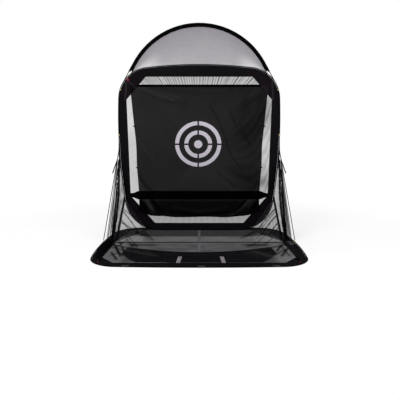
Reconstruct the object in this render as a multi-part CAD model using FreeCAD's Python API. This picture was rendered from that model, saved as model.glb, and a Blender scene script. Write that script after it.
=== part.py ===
import FreeCAD, Part
import math
import os

# A pop-up golf chipping net: a ring that lies on the ground, a second ring that
# stands on it and leans a little forward, a bent pole with a roof net above them,
# and a target sheet, nets, straps and cords between them.
# Millimetres. X is to the player's right, Y away from the player, Z up.
# The origin is the middle of the base ring's footprint, on the ground.

Vec = FreeCAD.Vector
os.makedirs("parts", exist_ok=True)

# Cloth, webbing and the clearances between layers
cloth = 1.6
net_thickness = 1.6
webbing = 1.4
layer_gap = 0.3
seam_gap = 0.3
running_gap = 0.08

# Spring wire rings in their hem sleeves
wire_diameter = 7.0
ferrule_wall = 0.55
ferrule_gap = 0.05
ferrule_length = 60.0
hem_bore_gap = 0.8
hem_wall = 1.4
wire_end_gap = 1.0

# Base ring, lying on the ground
base_width = 2080.0
base_depth = 1550.0
base_rear_width = 1954.0
base_front_corner = 290.0
base_rear_corner = 310.0
base_side_bow = 4200.0
base_end_bow = 14000.0

# Base window, the netted opening inside the border
base_front_border = 155.0
base_rear_border = 112.0
base_window_front_half = 925.0
base_window_rear_half = 905.0
base_front_chamfer = (125.0, 170.0)
base_rear_chamfer = (115.0, 560.0)

# Main frame ring, measured in its own plane from its lowest edge
frame_height = 1885.0
frame_top_corner = 350.0
frame_top_corner_half = 875.0
frame_bottom_corner = 390.0
frame_flat_half = 465.0
frame_side_bow = 6200.0
frame_top_bow = 5000.0
frame_lean = 8.0
frame_setback = 126.0

# Main frame window
window_half = 785.0
window_top_border = 131.0
window_bottom_border = 92.0
window_top_chamfer = (215.0, 242.0)
window_bottom_chamfer = (270.0, 333.0)
top_seam_shift = 93.0
bottom_seam_shift = 50.0

# Hinge loops of webbing that hold the frame's bottom hem down on the base
loop_width = 40.0
loop_places = (-400.0, -190.0, 190.0, 400.0)
loop_tail = 72.0
loop_notch_gap = 1.5

# Roof pole, its sleeve and the roof net
pole_diameter = 9.0
roof_rise = 405.0
arch_radius = 808.0
upper_clip_drop = 265.0
lower_clip_drop = 755.0
clip_bend = 300.0
flare_drop = 980.0
flare_bend = 500.0
pole_tip_drop = 1195.0
pole_tip_spread = 105.0
pole_joint_angle = 20.0
pole_ferrule_length = 70.0
pole_ferrule_wall = 0.6
tip_cap_length = 115.0
tip_cap_wall = 1.5
sleeve_wall = 1.4
sleeve_flap = 29.0
sleeve_straight = 105.0
sleeve_clearance = 0.5
roof_net_pitch = 44.0
roof_net_strand = 5.0
roof_net_lap = 14.0
roof_net_margin = 6.0
roof_tie_size = (16.0, 54.0)
roof_tie_slant = 14.0
roof_tie_inset = 14.0
clip_wall = 2.2
clip_length = 16.0
clip_clearance = 0.6
pocket_width = 22.0
pocket_height = 196.0
pocket_outset = 13.0
pocket_lean = 20.0

# Target sheet, hung behind the top gussets and in front of the bottom ones
sheet_bottom_rise = 78.0
sheet_top_drop = 82.0
sheet_levels = (0.0, 0.053, 0.22, 0.42, 0.62, 0.82, 1.0)
sheet_insets = (175.0, 95.0, 90.0, 85.0, 79.0, 60.0, 40.0)
sheet_places = (-9.0, -9.0, -12.0, -14.0, -10.0, -2.0, 7.4)
sheet_belly = (0.0, 2.0, 8.0, 10.0, 8.0, 4.0, 0.0)
sheet_folds = (4.5, 4.5, 3.5, 2.5, 2.5, 3.0, 3.5)
sheet_fold_count = 14
sheet_hem_depth = 26.0
corner_tie_width = 16.0
top_tie_start = (-20.0, -24.0)
top_tie_end = (-14.0, 38.0)
low_tie_start = (-22.0, 4.0)
low_tie_end = (36.0, -22.0)
side_tab_size = (26.0, 12.0)
side_tab_lap = 14.0
side_tie_levels = (0.393, 0.702)

# Rebound strap behind the sheet
strap_low = 379.0
strap_high = 481.0
strap_end_height = 52.0
strap_waist_inset = 20.0
strap_shoulder_inset = 95.0
strap_lap = 16.0

# Back net, a shallow bag behind the window
bag_lap = 12.0
bag_top_chamfers = ((85.0, 94.0), (105.0, 114.0), (230.0, 250.0))
bag_depths = (70.0, 118.0)
bag_insets = (30.0, 170.0)
bag_drops = (12.0, 55.0)
gather_elastic_diameter = 5.0

# Floor nets, cords and ribbons on the base
floor_net_pitch = 92.0
floor_net_strand = 7.0
floor_net_margin = 12.0
return_panel_gap = 2.0
return_hem_side = -10.0
return_hem_middle = -300.0
hem_cord_diameter = 7.0
cross_cord_diameter = 6.0
cord_end_gap = 2.0
ribbon_width = 30.0
ribbon_front = -235.0
tab_width = 38.0
tab_length = 200.0
tab_place = 200.0
tab_middle = 16.0
tab_splay = 12.0
tab_lap = 16.0
closure_places = (-670.0, 20.0, 700.0)
closure_width = 62.0
closure_tail = 55.0
tag_size = (18.0, 26.0)
frame_tag_inset = (16.0, 42.0)
rear_tag_place = 772.0
edge_clip_place = 108.0
clip_eye_radius = 6.0
clip_eye_bore = 3.0
clip_eye_rise = 5.0
clip_eye_offset = 1.5

# Side straps, side nets, cords and gathered nets between the frame and the base
strap_height = 420.0
strap_diameter = 13.0
strap_foot_half = 890.0
strap_floor_place = 95.0
strap_front_place = -560.0
strap_bend = 300.0
side_net_thickness = 2.0
side_net_pitch = 46.0
side_net_strand = 5.0
side_net_start = 46.0
side_net_corner = (-190.0, 20.0)
net_margin_share = 0.93
outer_net_height = 930.0
outer_net_rear = 420.0
outer_net_inboard = 17.0
outer_net_leg_gap = 12.0
cord_diameter = 8.0
first_cord_rise = 22.0
second_cord_height = 775.0
second_cord_place = 274.0
second_cord_leg_gap = 20.0
second_cord_seat = 0.4
bunch_top = 860.0
bunch_lobes = 7
bunch_radii = (9.0, 15.0, 20.0, 23.0, 20.0)
bunch_foot = 300.0
bunch_inboard = 22.0
bunch_bend = (32.0, 30.0)
bunch_twist = 0.35
bunch_pleat = 0.72
tail_gap = 100.0
tail_length = 690.0
tail_width = 92.0
tail_height = 36.0
tail_inboard = 9.0
tail_sections = ((-1.0, 0.35), (-0.6, 0.85), (0.0, 1.0), (0.6, 0.8), (1.0, 0.3))
tail_shoulder = (0.7, 0.75)
slack_cord_diameter = 6.0
slack_cord_route = (
    (972.0, 175.0), (982.0, 112.0), (999.0, 46.0), (1009.0, -30.0), (1008.0, -112.0),
    (1003.0, -194.0), (992.0, -275.0), (981.0, -350.0), (966.0, -425.0), (944.0, -495.0),
)

# Sizes that follow from the ones above
wire_radius = wire_diameter / 2
hem_bore = wire_radius + hem_bore_gap
hem_radius = hem_bore + hem_wall
loop_bore = hem_radius + running_gap
loop_radius = loop_bore + webbing
hinge_y = base_depth / 2 - frame_setback
hinge_z = net_thickness + layer_gap + loop_radius
pole_radius = pole_diameter / 2
pole_offset = hem_radius + pole_radius + layer_gap
pole_apex = frame_height + roof_rise
upper_clip_height = frame_height - upper_clip_drop
lower_clip_height = frame_height - lower_clip_drop
flare_height = frame_height - flare_drop
pole_tip = (frame_top_corner_half + pole_tip_spread, frame_height - pole_tip_drop)
floor_layer = net_thickness + layer_gap
second_layer = floor_layer + webbing + layer_gap


def flat(height):
    """Points of a drawing that lies level at this height."""
    return lambda a, b: Vec(a, b, height)


def upright(offset):
    """Points of a drawing in the frame's own plane, this far behind it."""
    return lambda a, b: Vec(a, offset, b)


def stand(shape):
    """Turns a shape made in the frame's plane to where the frame stands."""
    shape = shape.copy()
    shape.translate(Vec(0, 0, -hem_radius))
    shape.rotate(Vec(0, 0, 0), Vec(1, 0, 0), frame_lean)
    shape.translate(Vec(0, hinge_y, hinge_z))
    return shape


def standing(across, behind, up):
    """The place on the standing frame of a point given in the frame's plane."""
    lean = math.radians(frame_lean)
    rise = up - hem_radius
    y = behind * math.cos(lean) - rise * math.sin(lean)
    z = behind * math.sin(lean) + rise * math.cos(lean)
    return Vec(across, hinge_y + y, hinge_z + z)


def save(name, *solids):
    """Writes one node, and prints its solids and volume."""
    shape = solids[0] if len(solids) == 1 else Part.makeCompound(list(solids))
    shape.exportStep("parts/" + name + ".step")
    print(name, len(shape.Solids), "solids", round(shape.Volume / 1000, 1), "cm3", shape.isValid())


def polygon(points, lift):
    """A flat face with straight edges."""
    corners = [lift(a, b) for a, b in points]
    return Part.Face(Part.makePolygon(corners + corners[:1]))


def slab(face, direction):
    """A face given its thickness, as its one solid."""
    return face.extrude(direction).Solids[0]


def mirrored(points):
    """A half outline, from the rear or top to the front or bottom, and its mirror image."""
    return list(points) + [(-a, b) for a, b in reversed(points)]


def bow_centre(first, second, bow):
    """Centre of the large arc that touches two corner circles from outside."""
    ax, ay, ar = first
    bx, by, br = second
    length = math.hypot(bx - ax, by - ay)
    along = ((bow - ar) ** 2 - (bow - br) ** 2 + length ** 2) / (2 * length)
    aside = math.sqrt((bow - ar) ** 2 - along ** 2)
    ex, ey = (bx - ax) / length, (by - ay) / length
    return ax + along * ex - aside * ey, ay + along * ey + aside * ex


def outward(centre, corner):
    """Angle at which a bow's radius passes through a corner circle's centre."""
    return math.atan2(corner[1] - centre[1], corner[0] - centre[0])


def ring_outline(corners, bows, inset, lift):
    """A closed outline of corner arcs joined by bows, drawn this far inside the full size.

    The corners go round anticlockwise. A bow of 0 is a straight, level run at the bottom.
    """
    count = len(corners)
    starts, ends, centres = [0] * count, [0] * count, [0] * count
    for i in range(count):
        following = (i + 1) % count
        if bows[i]:
            centres[i] = bow_centre(corners[i], corners[following], bows[i])
            ends[i] = outward(centres[i], corners[i])
            starts[following] = outward(centres[i], corners[following])
        else:
            ends[i] = -math.pi / 2
            starts[following] = -math.pi / 2
    edges = []

    def arc(x, y, radius, begin, finish):
        if finish < begin:
            finish += 2 * math.pi
        turns = (begin, (begin + finish) / 2, finish)
        return Part.Arc(*[lift(x + radius * math.cos(t), y + radius * math.sin(t)) for t in turns])

    for i in range(count):
        following = (i + 1) % count
        x, y, radius = corners[i]
        edges.append(arc(x, y, radius - inset, starts[i], ends[i]).toShape())
        if bows[i]:
            edges.append(arc(*centres[i], bows[i] - inset, ends[i], starts[following]).toShape())
        else:
            far_x = corners[following][0]
            low = y - radius + inset
            edges.append(Part.LineSegment(lift(x, low), lift(far_x, low)).toShape())
    return Part.Wire(edges)


def round_bar(path, radius):
    """A round bar along a path, as one solid."""
    start = path.OrderedVertexes[0].Point
    edge = path.OrderedEdges[0]
    at_start = edge.valueAt(edge.FirstParameter).distanceToPoint(start) < 1e-6
    parameter = edge.FirstParameter if at_start else edge.LastParameter
    profile = Part.Wire(Part.makeCircle(radius, start, edge.tangentAt(parameter)))
    bar = path.makePipeShell([profile], True, False)
    solid = bar if bar.ShapeType == "Solid" else Part.Solid(bar)
    if solid.Volume < 0:
        solid.reverse()
    return solid


def rounded_path(points, radii):
    """Straight runs joined by tangent arcs; radii are those of the inner points."""
    edges = []
    here = points[0]
    for i, radius in enumerate(radii):
        corner = points[i + 1]
        arriving = (corner - points[i]).normalize()
        leaving = (points[i + 2] - corner).normalize()
        half = arriving.getAngle(leaving) / 2
        setback = radius * math.tan(half)
        begin = corner - arriving * setback
        finish = corner + leaving * setback
        inward = (leaving - arriving).normalize()
        middle = corner + inward * (radius / math.cos(half) - radius)
        edges.append(Part.LineSegment(here, begin).toShape())
        edges.append(Part.Arc(begin, middle, finish).toShape())
        here = finish
    edges.append(Part.LineSegment(here, points[-1]).toShape())
    return Part.Wire(edges)


def laid_cord(name, points, diameter):
    """A cord's tube, with each arc as large as its two runs allow."""
    radii = []
    for before, corner, after in zip(points, points[1:], points[2:]):
        half = (corner - before).getAngle(after - corner) / 2
        shorter = min(before.distanceToPoint(corner), corner.distanceToPoint(after))
        radii.append(0.45 * shorter / math.tan(half))
    path = rounded_path(points, radii)
    tube = round_bar(path, diameter / 2)
    share = tube.Volume / (math.pi * diameter ** 2 / 4 * path.Length)
    print(name, "length", round(path.Length), "radii", [round(r) for r in radii], "volume", round(share, 4))
    return tube


def inside(area, points):
    """True where every point lies on the face, clear of its edges."""
    return all(area.isInside(point, 1e-3, False) for point in points)


def net(area, margin_area, lift, box, pitch, strand, thickness):
    """A flat net: one face with a square gap wherever a whole gap clears the edge band."""
    low_a, low_b, high_a, high_b = box
    gaps = []
    columns = int((high_a - low_a) / pitch)
    rows = int((high_b - low_b) / pitch)
    first_a = (low_a + high_a) / 2 - (columns - 1) * pitch / 2
    first_b = (low_b + high_b) / 2 - (rows - 1) * pitch / 2
    reach = (pitch - strand) / 2
    for column in range(columns):
        for row in range(rows):
            a = first_a + column * pitch
            b = first_b + row * pitch
            ring = [(a - reach, b - reach), (a + reach, b - reach)]
            ring += [(a + reach, b + reach), (a - reach, b + reach)]
            corners = [lift(*point) for point in ring]
            if inside(margin_area, corners):
                gaps.append(Part.makePolygon(corners + corners[:1]))
    face = Part.Face([area.OuterWire] + gaps)
    face.validate()
    print("net gaps", len(gaps))
    return slab(face, thickness)


def spring_ring(name, outline, split):
    """The hoop of spring wire, open where its ends meet inside the ferrule."""
    hoop = round_bar(outline, wire_radius)
    gap = Part.makeBox(wire_end_gap, 40, 40, split - Vec(wire_end_gap / 2, 20, 20))
    save(name, hoop.cut(gap).Solids[0])


def wire_ferrule(place):
    """The crimped tube over the wire's two ends, on a run along X."""
    inner = wire_radius + ferrule_gap
    start = place - Vec(ferrule_length / 2, 0, 0)
    outside = Part.makeCylinder(inner + ferrule_wall, ferrule_length, start, Vec(1, 0, 0))
    return outside.cut(Part.makeCylinder(inner, ferrule_length, start, Vec(1, 0, 0)))


def hem_sleeve(outline):
    """The sewn tunnel of cloth round the spring wire."""
    return round_bar(outline, hem_radius).cut(round_bar(outline, hem_bore)).Solids[0]


# Base ring: its four corner circles, anticlockwise from the front right
rear_corner_x = base_rear_width / 2 - base_rear_corner


def end_corner_inset(radius, across):
    """How far a corner circle's centre lies inside the middle of the bowed end."""
    return base_end_bow - math.sqrt((base_end_bow - radius) ** 2 - across ** 2)


def front_corner():
    """The front right corner circle, moved in until the bowed side is just as wide as the base."""
    x = base_width / 2 - base_front_corner
    for _ in range(12):
        y = -base_depth / 2 + end_corner_inset(base_front_corner, x)
        centre = bow_centre((x, y, base_front_corner), rear_corner, base_side_bow)
        on_bow = centre[1] > y
        reach = centre[0] + base_side_bow if on_bow else x + base_front_corner
        x -= reach - base_width / 2
    return x, y, base_front_corner


rear_corner_y = base_depth / 2 - end_corner_inset(base_rear_corner, rear_corner_x)
rear_corner = (rear_corner_x, rear_corner_y, base_rear_corner)
base_corners = [front_corner(), rear_corner]
base_corners += [(-x, y, radius) for x, y, radius in reversed(base_corners)]
base_bows = [base_side_bow, base_end_bow, base_side_bow, base_end_bow]


def base_outline(inset, height):
    return ring_outline(base_corners, base_bows, inset, flat(height))


def base_half(y, inset=0.0):
    """Half width of the base ring's outline at a place along its side."""
    probe = Part.LineSegment(Vec(0, y, 0), Vec(base_width, y, 0)).toShape()
    return base_outline(inset, 0.0).distToShape(probe)[1][0][0].x


# Base window, as points of its right half from rear to front
window_rear_y = base_depth / 2 - base_rear_border
window_front_y = -base_depth / 2 + base_front_border
rear_cut_x, rear_cut_y = base_rear_chamfer
front_cut_x, front_cut_y = base_front_chamfer


def base_window(grow=0.0):
    half = [
        (base_window_rear_half - rear_cut_x + grow / 2, window_rear_y + grow),
        (base_window_rear_half + grow, window_rear_y - rear_cut_y),
        (base_window_front_half + grow, window_front_y + front_cut_y),
        (base_window_front_half - front_cut_x + grow / 2, window_front_y - grow),
    ]
    return mirrored(half)


def base_panels(grow):
    """The straight runs of the base's border, as regions cut from it; the corners remain."""
    beyond = base_width
    rear_x = base_window_rear_half - rear_cut_x + grow
    front_x = base_window_front_half - front_cut_x + grow
    side_rear_y = window_rear_y - rear_cut_y + grow
    side_front_y = window_front_y + front_cut_y - grow
    lift = flat(-1.0)
    rear = polygon([(-rear_x, 0), (rear_x, 0), (rear_x, beyond), (-rear_x, beyond)], lift)
    front = polygon([(-front_x, 0), (front_x, 0), (front_x, -beyond), (-front_x, -beyond)], lift)
    right = [(0, side_rear_y), (0, side_front_y), (beyond, side_front_y), (beyond, side_rear_y)]
    left = [(-a, b) for a, b in right]
    up = Vec(0, 0, cloth + 2)
    return [slab(area, up) for area in (rear, front, polygon(right, lift), polygon(left, lift))]


def make_base_ring():
    outline = base_outline(hem_radius, hem_radius)
    meeting = Vec(0, base_depth / 2 - hem_radius, hem_radius)
    spring_ring("base_ring_wire", outline, meeting)
    save("base_ring_ferrule", wire_ferrule(meeting))
    save("base_hem_sleeve", hem_sleeve(outline))


def make_base_border():
    """The border of cloth, sewn from four runs and four corner gussets."""
    half_chord = math.sqrt(hem_radius ** 2 - (hem_radius - cloth) ** 2)
    edge = Part.Face(base_outline(hem_radius + half_chord + seam_gap, 0.0))
    border = edge.cut(polygon(base_window(), flat(0.0)))
    sheet = border.extrude(Vec(0, 0, cloth))
    rear, front, right, left = base_panels(0.0)
    save("base_rear_border", sheet.common(rear).Solids[0])
    save("base_front_border", sheet.common(front).Solids[0])
    save("base_side_borders", sheet.common(right).Solids[0], sheet.common(left).Solids[0])
    gussets = sheet
    for panel in base_panels(seam_gap):
        gussets = gussets.cut(panel)
    save("base_corner_gussets", *gussets.Solids)


def make_base_nets():
    """The light net over the whole window, and the darker panel on its front part."""
    area = polygon(base_window(-seam_gap), flat(0.0))
    margin = polygon(base_window(-floor_net_margin), flat(0.0))
    box = (-base_window_front_half, window_front_y, base_window_front_half, window_rear_y)
    up = Vec(0, 0, net_thickness)
    save("base_floor_net", net(area, margin, flat(0.0), box, floor_net_pitch, floor_net_strand, up))

    reach = base_window_front_half
    rise = [Vec(-reach, return_hem_side, floor_layer), Vec(0, return_hem_middle, floor_layer)]
    rise.append(Vec(reach, return_hem_side, floor_layer))
    hem = Part.Arc(*rise).toShape()
    front = window_front_y
    corners = [rise[2], Vec(reach, front, floor_layer), Vec(-reach, front, floor_layer), rise[0]]
    region = Part.Face(Part.Wire([hem] + Part.makePolygon(corners).Edges))
    window = polygon(base_window(-return_panel_gap), flat(floor_layer))
    panel = region.common(window).extrude(Vec(0, 0, webbing)).Solids[0]
    save("return_panel", panel)

    radius = hem_cord_diameter / 2
    place = radius + layer_gap
    ends = strap_foot_half - 1.0
    lift = floor_layer + radius
    route = [Vec(-ends, return_hem_side + place, lift), Vec(0, return_hem_middle + place, lift)]
    route.append(Vec(ends, return_hem_side + place, lift))
    path = Part.Wire(Part.Arc(*route).toShape())
    print("return_hem_cord length", round(path.Length))
    save("return_hem_cord", round_bar(path, radius))


def strap_foot(side):
    """Where a side strap reaches the base, just inside the side border."""
    return Vec(side * strap_foot_half, strap_floor_place, second_layer + strap_diameter / 2)


def make_base_webbing():
    """Ribbon, tabs, closure straps, tags and clips on the base."""
    low = floor_layer + webbing + layer_gap
    ribbon_rear = hinge_y - loop_radius - layer_gap
    ribbon = Part.makeBox(ribbon_width, ribbon_rear - ribbon_front, webbing,
                          Vec(-ribbon_width / 2, ribbon_front, floor_layer))
    save("center_ribbon", ribbon)

    tabs = []
    for side in (-1, 1):
        front = window_front_y - tab_lap
        near, far = tab_middle + side * (tab_place + tab_splay), tab_middle + side * tab_place
        half = tab_width / 2
        outline = [(near - half, front), (near + half, front)]
        outline += [(far + half, front + tab_length), (far - half, front + tab_length)]
        tabs.append(slab(polygon(outline, flat(low)), Vec(0, 0, webbing)))
    save("front_tabs", *tabs)

    closures = []
    bore = hem_radius + layer_gap
    for x in closure_places:
        y = -base_half_depth(x) + hem_radius
        start = Vec(x - closure_width / 2, y, hem_radius)
        band = Part.makeCylinder(bore + webbing, closure_width, start, Vec(1, 0, 0))
        tail = Part.makeBox(closure_width, closure_tail, webbing, Vec(start.x, y, cloth + layer_gap))
        band = band.fuse(tail).cut(Part.makeCylinder(bore, closure_width, start, Vec(1, 0, 0)))
        under = Part.makeBox(closure_width, 40, 20, Vec(start.x, y - 40, cloth + layer_gap - 20))
        behind = Part.makeBox(closure_width, 90, 20, Vec(start.x, y, cloth + layer_gap - 20))
        band = max(band.cut([under, behind]).Solids, key=lambda solid: solid.Volume)
        band.rotate(Vec(x, y, 0), Vec(0, 0, 1), math.degrees(math.asin(x / base_end_bow)))
        closures.append(band)
    save("closure_straps", *closures)

    wide, deep = tag_size
    tags = []
    rear_tag_y = window_rear_y + deep + layer_gap
    front_tag_y = strap_front_place - strap_diameter - deep
    for side in (-1, 1):
        for x, y in ((rear_tag_place, rear_tag_y), (base_window_front_half + strap_diameter, front_tag_y)):
            corner = Vec(side * x - wide / 2, y - deep / 2, cloth + layer_gap)
            tags.append(Part.makeBox(wide, deep, webbing, corner))
    save("base_tags", *tags)

    save("edge_clips", *[edge_clip(side) for side in (-1, 1)])


def base_half_depth(x):
    """How far the front edge of the base lies from the origin, at a place along it."""
    centre = bow_centre(base_corners[3], base_corners[0], base_end_bow)
    return -(centre[1] - math.sqrt(base_end_bow ** 2 - (x - centre[0]) ** 2))


def edge_clip(side):
    """A plastic hook over the base's side hem, with an eye for a cord."""
    x = side * (base_half(edge_clip_place) - hem_radius)
    bore = hem_radius + layer_gap
    along = Vec(0, 1, 0)
    start = Vec(x, edge_clip_place - clip_length / 2, hem_radius)
    hook = Part.makeCylinder(bore + clip_wall, clip_length, start, along)
    place = Vec(x, edge_clip_place - clip_wall, hem_radius + bore + clip_eye_rise)
    eye = Part.makeCylinder(clip_eye_radius, clip_wall * 2, place, along)
    hole = Part.makeCylinder(clip_eye_bore, clip_wall * 2, place + Vec(0, 0, clip_eye_offset), along)
    hook = hook.fuse(eye).cut([Part.makeCylinder(bore, clip_length, start, along), hole])
    below = hem_radius / 2
    under = Part.makeBox(6 * bore, clip_length, bore * 2, Vec(x - 3 * bore, start.y, below - bore * 2))
    hook = max(hook.cut(under).Solids, key=lambda solid: solid.Volume)
    ahead = base_half(edge_clip_place + clip_length) - base_half(edge_clip_place)
    turn = math.degrees(math.atan2(-side * ahead, clip_length))
    hook.rotate(Vec(x, edge_clip_place, 0), Vec(0, 0, 1), turn)
    return hook


def make_hinge_loops():
    """Webbing loops sewn to the rear border, round the straight run of the frame's hem."""
    loops = []
    for x in loop_places:
        start = Vec(x - loop_width / 2, hinge_y, hinge_z)
        loop = Part.makeCylinder(loop_radius, loop_width, start, Vec(1, 0, 0))
        tail = Part.makeBox(loop_width, loop_tail, webbing, Vec(start.x, hinge_y, hinge_z - loop_radius))
        bore = Part.makeCylinder(loop_bore, loop_width, start, Vec(1, 0, 0))
        loops.append(loop.fuse(tail).cut(bore).Solids[0])
    save("hinge_loops", *loops)


# Main frame ring: its corner circles in the frame's plane, anticlockwise from the bottom left
top_corner_x = frame_top_corner_half - frame_top_corner
top_reach = frame_top_bow - frame_top_corner
top_corner_up = frame_height - frame_top_bow + math.sqrt(top_reach ** 2 - top_corner_x ** 2)
frame_corners = [
    (-frame_flat_half, frame_bottom_corner, frame_bottom_corner),
    (frame_flat_half, frame_bottom_corner, frame_bottom_corner),
    (top_corner_x, top_corner_up, frame_top_corner),
    (-top_corner_x, top_corner_up, frame_top_corner),
]
frame_bows = [0, frame_side_bow, frame_top_bow, frame_side_bow]


def frame_outline(inset, offset=0.0):
    return ring_outline(frame_corners, frame_bows, inset, upright(offset))


def frame_half(up, inset=0.0):
    """Half width of the frame's outline at a height in its plane."""
    probe = Part.LineSegment(Vec(0, 0, up), Vec(base_width, 0, up)).toShape()
    return frame_outline(inset).distToShape(probe)[1][0][0].x


window_top = frame_height - window_top_border
window_bottom = window_bottom_border
top_cut_x, top_cut_up = window_top_chamfer
bottom_cut_x, bottom_cut_up = window_bottom_chamfer
sheet_bottom = window_bottom + sheet_bottom_rise
sheet_rise = window_top - sheet_top_drop - sheet_bottom
sheet_heights = [sheet_bottom + level * sheet_rise for level in sheet_levels]
sheet_halves = [window_half - inset for inset in sheet_insets]


def frame_window(grow=0.0, drop=0.0, top_chamfer=window_top_chamfer):
    """The octagonal window's outline, grown all round, as points in the frame's plane."""
    lean_in = grow * math.tan(math.radians(22.5))
    half = [
        (window_half - top_chamfer[0] + lean_in, window_top + grow - drop),
        (window_half + grow, window_top - top_chamfer[1] + lean_in - drop),
        (window_half + grow, window_bottom + bottom_cut_up - lean_in - drop),
        (window_half - bottom_cut_x + lean_in, window_bottom - grow - drop),
    ]
    return mirrored(half)


def frame_panels(grow):
    """The straight runs of the frame's border, as regions cut from it."""
    beyond = frame_height * 1.5
    lift = upright(-cloth)
    top_x = window_half - top_cut_x + grow
    bottom_x = window_half - bottom_cut_x + grow
    top_far = top_x - top_seam_shift
    bottom_far = bottom_x - bottom_seam_shift
    outline = [(top_x, window_top), (top_far, frame_height), (-top_far, frame_height), (-top_x, window_top)]
    top = polygon([(top_x, window_top - 40)] + outline + [(-top_x, window_top - 40)], lift)
    outline = [(bottom_x, window_bottom), (bottom_far, 0), (-bottom_far, 0), (-bottom_x, window_bottom)]
    bottom = polygon([(bottom_x, window_bottom + 40)] + outline + [(-bottom_x, window_bottom + 40)], lift)
    high = window_top - top_cut_up + grow
    low = window_bottom + bottom_cut_up - grow
    right = [(0, high), (0, low), (beyond, low), (beyond, high)]
    left = [(-a, b) for a, b in right]
    back = Vec(0, cloth * 2, 0)
    return [slab(area, back) for area in (top, bottom, polygon(right, lift), polygon(left, lift))]


def make_frame_ring():
    outline = stand(frame_outline(hem_radius))
    meeting = Vec(0, hinge_y, hinge_z)
    spring_ring("frame_ring_wire", outline, meeting)
    save("frame_ring_ferrule", wire_ferrule(meeting))
    save("frame_hem_sleeve", hem_sleeve(outline))


def make_frame_border():
    """Four runs of doubled cloth and four corner gussets, notched for the hinge loops."""
    edge = Part.Face(frame_outline(hem_radius * 2 + seam_gap, -cloth / 2))
    border = edge.cut(polygon(frame_window(), upright(-cloth / 2)))
    sheet = border.extrude(Vec(0, cloth, 0))
    notches = []
    for x in loop_places:
        wide = loop_width + 2 * loop_notch_gap
        high = hem_radius + loop_radius + loop_notch_gap
        notches.append(Part.makeBox(wide, cloth * 2, high, Vec(x - wide / 2, -cloth, 0)))
    sheet = sheet.cut(notches)
    top, bottom, right, left = frame_panels(0.0)
    save("frame_top_border", stand(sheet.common(top).Solids[0]))
    save("frame_bottom_border", stand(sheet.common(bottom).Solids[0]))
    save("frame_side_borders", *[stand(sheet.common(side).Solids[0]) for side in (right, left)])
    gussets = sheet
    for panel in frame_panels(seam_gap):
        gussets = gussets.cut(panel)
    middle = frame_height / 2
    high = [stand(solid) for solid in gussets.Solids if solid.CenterOfMass.z > middle]
    low = [stand(solid) for solid in gussets.Solids if solid.CenterOfMass.z < middle]
    save("frame_top_gussets", *high)
    save("frame_bottom_gussets", *low)


def sheet_section(up, half, place, belly, fold):
    """One level cut through the sheet: a thin strip whose two faces wave in and out."""
    count = sheet_fold_count
    step = 2 * half / count

    def along(face):
        edges = []
        for i in range(count):
            ends = []
            for a in (-half + i * step, -half + (i + 0.5) * step, -half + (i + 1) * step):
                share = a / half
                ends.append([a, place - belly * (1 - share ** 2) + face])
            middle_share = abs(ends[1][0] / half)
            ends[1][1] += fold * (0.35 + 0.65 * middle_share ** 2) * (1 if i % 2 else -1)
            edges.append(Part.Arc(*[Vec(a, n, up) for a, n in ends]).toShape())
        return edges

    front = along(-cloth / 2)
    back = along(cloth / 2)
    corners = [
        (Vec(half, place + cloth / 2, up), Vec(half, place - cloth / 2, up)),
        (Vec(-half, place - cloth / 2, up), Vec(-half, place + cloth / 2, up)),
    ]
    sides = [Part.LineSegment(*pair).toShape() for pair in corners]
    return Part.Wire(Part.__sortEdges__(front + sides + back))


def make_target_sheet():
    rows = zip(sheet_heights, sheet_halves, sheet_places, sheet_belly, sheet_folds)
    sections = [sheet_section(*row) for row in rows]
    save("target_sheet", stand(Part.makeLoft(sections, True, True)))

    half = sheet_halves[-1]
    back = sheet_places[-1] + sheet_folds[-1] + cloth / 2 + layer_gap
    top = sheet_heights[-1]
    hem = Part.makeBox(2 * half, webbing, sheet_hem_depth, Vec(-half, back, top - sheet_hem_depth))
    save("sheet_top_hem", stand(hem))

    ties = []
    for side in (-1, 1):
        behind = cloth / 2 + layer_gap
        strip = tie_strip(moved((half, top), top_tie_start), moved((window_half, top), top_tie_end), behind)
        ties.append(strip if side > 0 else strip.mirror(Vec(0, 0, 0), Vec(1, 0, 0)))
        corner = (sheet_halves[1], sheet_heights[1])
        front = -behind - webbing
        strip = tie_strip(moved(corner, low_tie_start), moved(corner, low_tie_end), front)
        ties.append(strip if side > 0 else strip.mirror(Vec(0, 0, 0), Vec(1, 0, 0)))
    save("sheet_corner_ties", *[stand(tie) for tie in ties])

    tabs = []
    for side in (-1, 1):
        for level in side_tie_levels:
            up = sheet_bottom + level * sheet_rise
            edge = sheet_edge(up)
            bulge = between(sheet_folds, up) / 2 if side > 0 else 0.0
            behind = sheet_place(up) + cloth / 2 + layer_gap + bulge
            wide, high = side_tab_size
            near = edge - side_tab_lap if side > 0 else side_tab_lap - edge - wide
            tabs.append(Part.makeBox(wide, webbing, high, Vec(near, behind, up - high / 2)))
    save("sheet_side_tabs", *[stand(tab) for tab in tabs])


def between(table, up):
    """A value of the sheet at a height between its listed levels."""
    for i in range(len(sheet_heights) - 1):
        low, high = sheet_heights[i], sheet_heights[i + 1]
        if low <= up <= high:
            share = (up - low) / (high - low)
            return table[i] + share * (table[i + 1] - table[i])
    return table[-1]


def sheet_edge(up):
    return between(sheet_halves, up)


def sheet_place(up):
    return between(sheet_places, up)


def moved(point, by):
    return point[0] + by[0], point[1] + by[1]


def tie_strip(start, finish, behind):
    """A flat elastic strip between two points of the frame's plane."""
    (a, b), (c, d) = start, finish
    length = math.hypot(c - a, d - b)
    x, y = -(d - b) / length * corner_tie_width / 2, (c - a) / length * corner_tie_width / 2
    outline = [(a - x, b - y), (c - x, d - y), (c + x, d + y), (a + x, b + y)]
    return slab(polygon(outline, upright(behind)), Vec(0, webbing, 0))


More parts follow.
